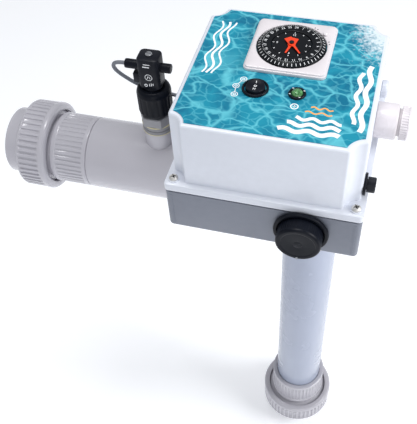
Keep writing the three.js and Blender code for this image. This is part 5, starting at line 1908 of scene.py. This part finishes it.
@dataclass
class SensorCable(Assembly):
    """The thin lead from the flow switch's reed bar back into the box."""

    diameter: float = 4.0
    slack: float = 1.004
    route: tuple[tuple[float, float, float], ...] = (
        (-198.6, 0, 644.5), (-205, 0.2, 644), (-210.5, 1.2, 641.5), (-213.5, 3, 636.5),
        (-213.5, 5.5, 630), (-210.5, 8.5, 622.5), (-205.5, 12, 614.5), (-199, 15.5, 606.5),
        (-191, 19, 599.5), (-181, 21.8, 594.5), (-169, 22.8, 591.5), (-156, 22, 590.5),
        (-145, 20, 590.5), (-137, 19.1, 590.5), (-131.6, 19, 590.5),
    )

    def build(self) -> None:
        line = bpy.data.curves.new("sensor_lead", "CURVE")
        line.dimensions = "3D"
        line.bevel_depth = self.diameter / 2 * MM
        line.bevel_resolution = 5
        line.resolution_u = 8
        line.use_fill_caps = True
        spline = line.splines.new("BEZIER")
        spline.bezier_points.add(len(self.route) - 1)
        for point, place in zip(spline.bezier_points, self.route):
            point.co = Vector(place) * MM
            point.handle_left_type = point.handle_right_type = "AUTO"
        line.materials.append(self.finishes["cable_jacket"])
        lead = bpy.data.objects.new("sensor_lead", line)
        bpy.context.scene.collection.objects.link(lead)
        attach(lead, CELL)
        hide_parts("sensor_cable")
        steps = zip(self.route, self.route[1:])
        length = sum((Vector(b) - Vector(a)).length for a, b in steps) * MM
        LOG.info("sensor_lead: %.4f m", length)


@dataclass
class Inside(Assembly):
    """What the box holds: the board, the transformer and the knob's control."""

    def build(self) -> None:
        """Dresses the inner parts."""
        self.dress("circuit_board", "board_green", 0.1)
        self.dress("transformer", "steel", 0.6)
        self.dress("potentiometer", "clamp_grey", 0.3)


# ---------------------------------------------------------------- studio
@dataclass(frozen=True)
class Lamp:
    """A soft square light: its width is in metres and its power in watts."""

    name: str
    at: tuple[float, float, float]
    width: float
    power: float


@dataclass
class Studio:
    """Camera, soft lights and floor, all in metres."""

    eye: tuple[float, float, float] = (0.0577, -0.5299, 1.0998)
    right: tuple[float, float, float] = (0.963, 0.264, -0.052)
    up: tuple[float, float, float] = (-0.171, 0.749, 0.640)
    back: tuple[float, float, float] = (0.208, -0.608, 0.766)
    lens: float = 61.6
    sensor: float = 36.0
    aim: tuple[float, float, float] = (-0.08, -0.02, 0.58)
    air: tuple[float, float, float, float] = (0.93, 0.96, 1.0, 1.0)
    air_strength: float = 0.42
    lamps: tuple[Lamp, ...] = (
        Lamp("key_light", (1.5, -0.1, 1.5), 0.8, 21.0),
        Lamp("top_light", (-0.25, 0.1, 2.3), 0.7, 15.0),
        Lamp("front_light", (0.4, -1.8, 1.0), 1.2, 6.0),
    )
    floor_half: float = 14.0
    floor_gap: float = 0.001
    floor_glow: tuple[float, float, float, float] = (0.97, 0.98, 1.0, 1.0)
    floor_glow_strength: float = 0.3
    floor_finish: Moulded = Moulded("studio_floor", (244, 245, 248), 0.7, 0.004, 0.02, 60.0,
                                    0.0, 0.0)

    def build_camera(self) -> None:
        """Places the camera and makes it the scene's."""
        data = bpy.data.cameras.new("studio_camera")
        data.lens = self.lens
        data.sensor_width = self.sensor
        data.clip_start = 0.01
        camera = bpy.data.objects.new("studio_camera", data)
        axes = [Vector(axis).normalized() for axis in (self.right, self.up, self.back)]
        turn = Matrix((axes[0], axes[1], axes[2])).transposed().to_4x4()
        camera.matrix_world = Matrix.Translation(Vector(self.eye)) @ turn
        bpy.context.scene.collection.objects.link(camera)
        bpy.context.scene.camera = camera

    def build_floor(self) -> None:
        """Lays the plain pale floor."""
        work = bmesh.new()
        bmesh.ops.create_grid(work, x_segments=4, y_segments=4, size=self.floor_half)
        mesh = bpy.data.meshes.new("studio_floor")
        work.to_mesh(mesh)
        work.free()
        floor = bpy.data.objects.new("studio_floor", mesh)
        floor.location.z = CAD_BOX[0][2] - self.floor_gap
        finish = self.floor_finish.make()
        glow = finish.node_tree.nodes["Principled BSDF"].inputs
        glow["Emission Color"].default_value = self.floor_glow
        glow["Emission Strength"].default_value = self.floor_glow_strength
        mesh.materials.append(finish)
        bpy.context.scene.collection.objects.link(floor)

    def hang(self, lamp: Lamp) -> None:
        """Hangs one light so that it looks at the object.

        Args:
            lamp: the light to hang.
        """
        data = bpy.data.lights.new(lamp.name, "AREA")
        data.energy = lamp.power
        data.size = lamp.width
        light = bpy.data.objects.new(lamp.name, data)
        light.location = lamp.at
        way = Vector(self.aim) - Vector(lamp.at)
        light.rotation_euler = way.to_track_quat("-Z", "Y").to_euler()
        bpy.context.scene.collection.objects.link(light)

    def build_light(self) -> None:
        """Sets the even surroundings and the soft lights."""
        world = bpy.data.worlds.new("studio_air")
        world.use_nodes = True
        air = world.node_tree.nodes["Background"]
        air.inputs["Color"].default_value = self.air
        air.inputs["Strength"].default_value = self.air_strength
        bpy.context.scene.world = world
        for lamp in self.lamps:
            self.hang(lamp)

    def build(self) -> None:
        """Makes the floor and the light, and sets how colours are shown."""
        self.build_floor()
        self.build_light()
        bpy.context.scene.view_settings.view_transform = "Standard"


def main() -> None:
    """Builds every sub-assembly over the frame."""
    logging.basicConfig(level=logging.INFO, format="%(message)s")
    studio = Studio()
    studio.build_camera()
    finishes = Finishes()
    SensorCable(finishes).build()
    assemblies = (
        ControlBox(finishes),
        TimeSwitch(finishes),
        PanelControls(finishes),
        OutputKnob(finishes),
        SideFittings(finishes),
        Union(finishes),
        Union(finishes, side="left", spot=Spot((RUN_LEFT_END, 0, RUN_HEIGHT), Facing.LEFT),
              collar=39.9, flare=0.0),
        ElectrodeCell(finishes),
        FlowSwitch(finishes),
        Inside(finishes),
    )
    for assembly in assemblies:
        assembly.build()
    studio.build()


if __name__ == "__main__":
    main()
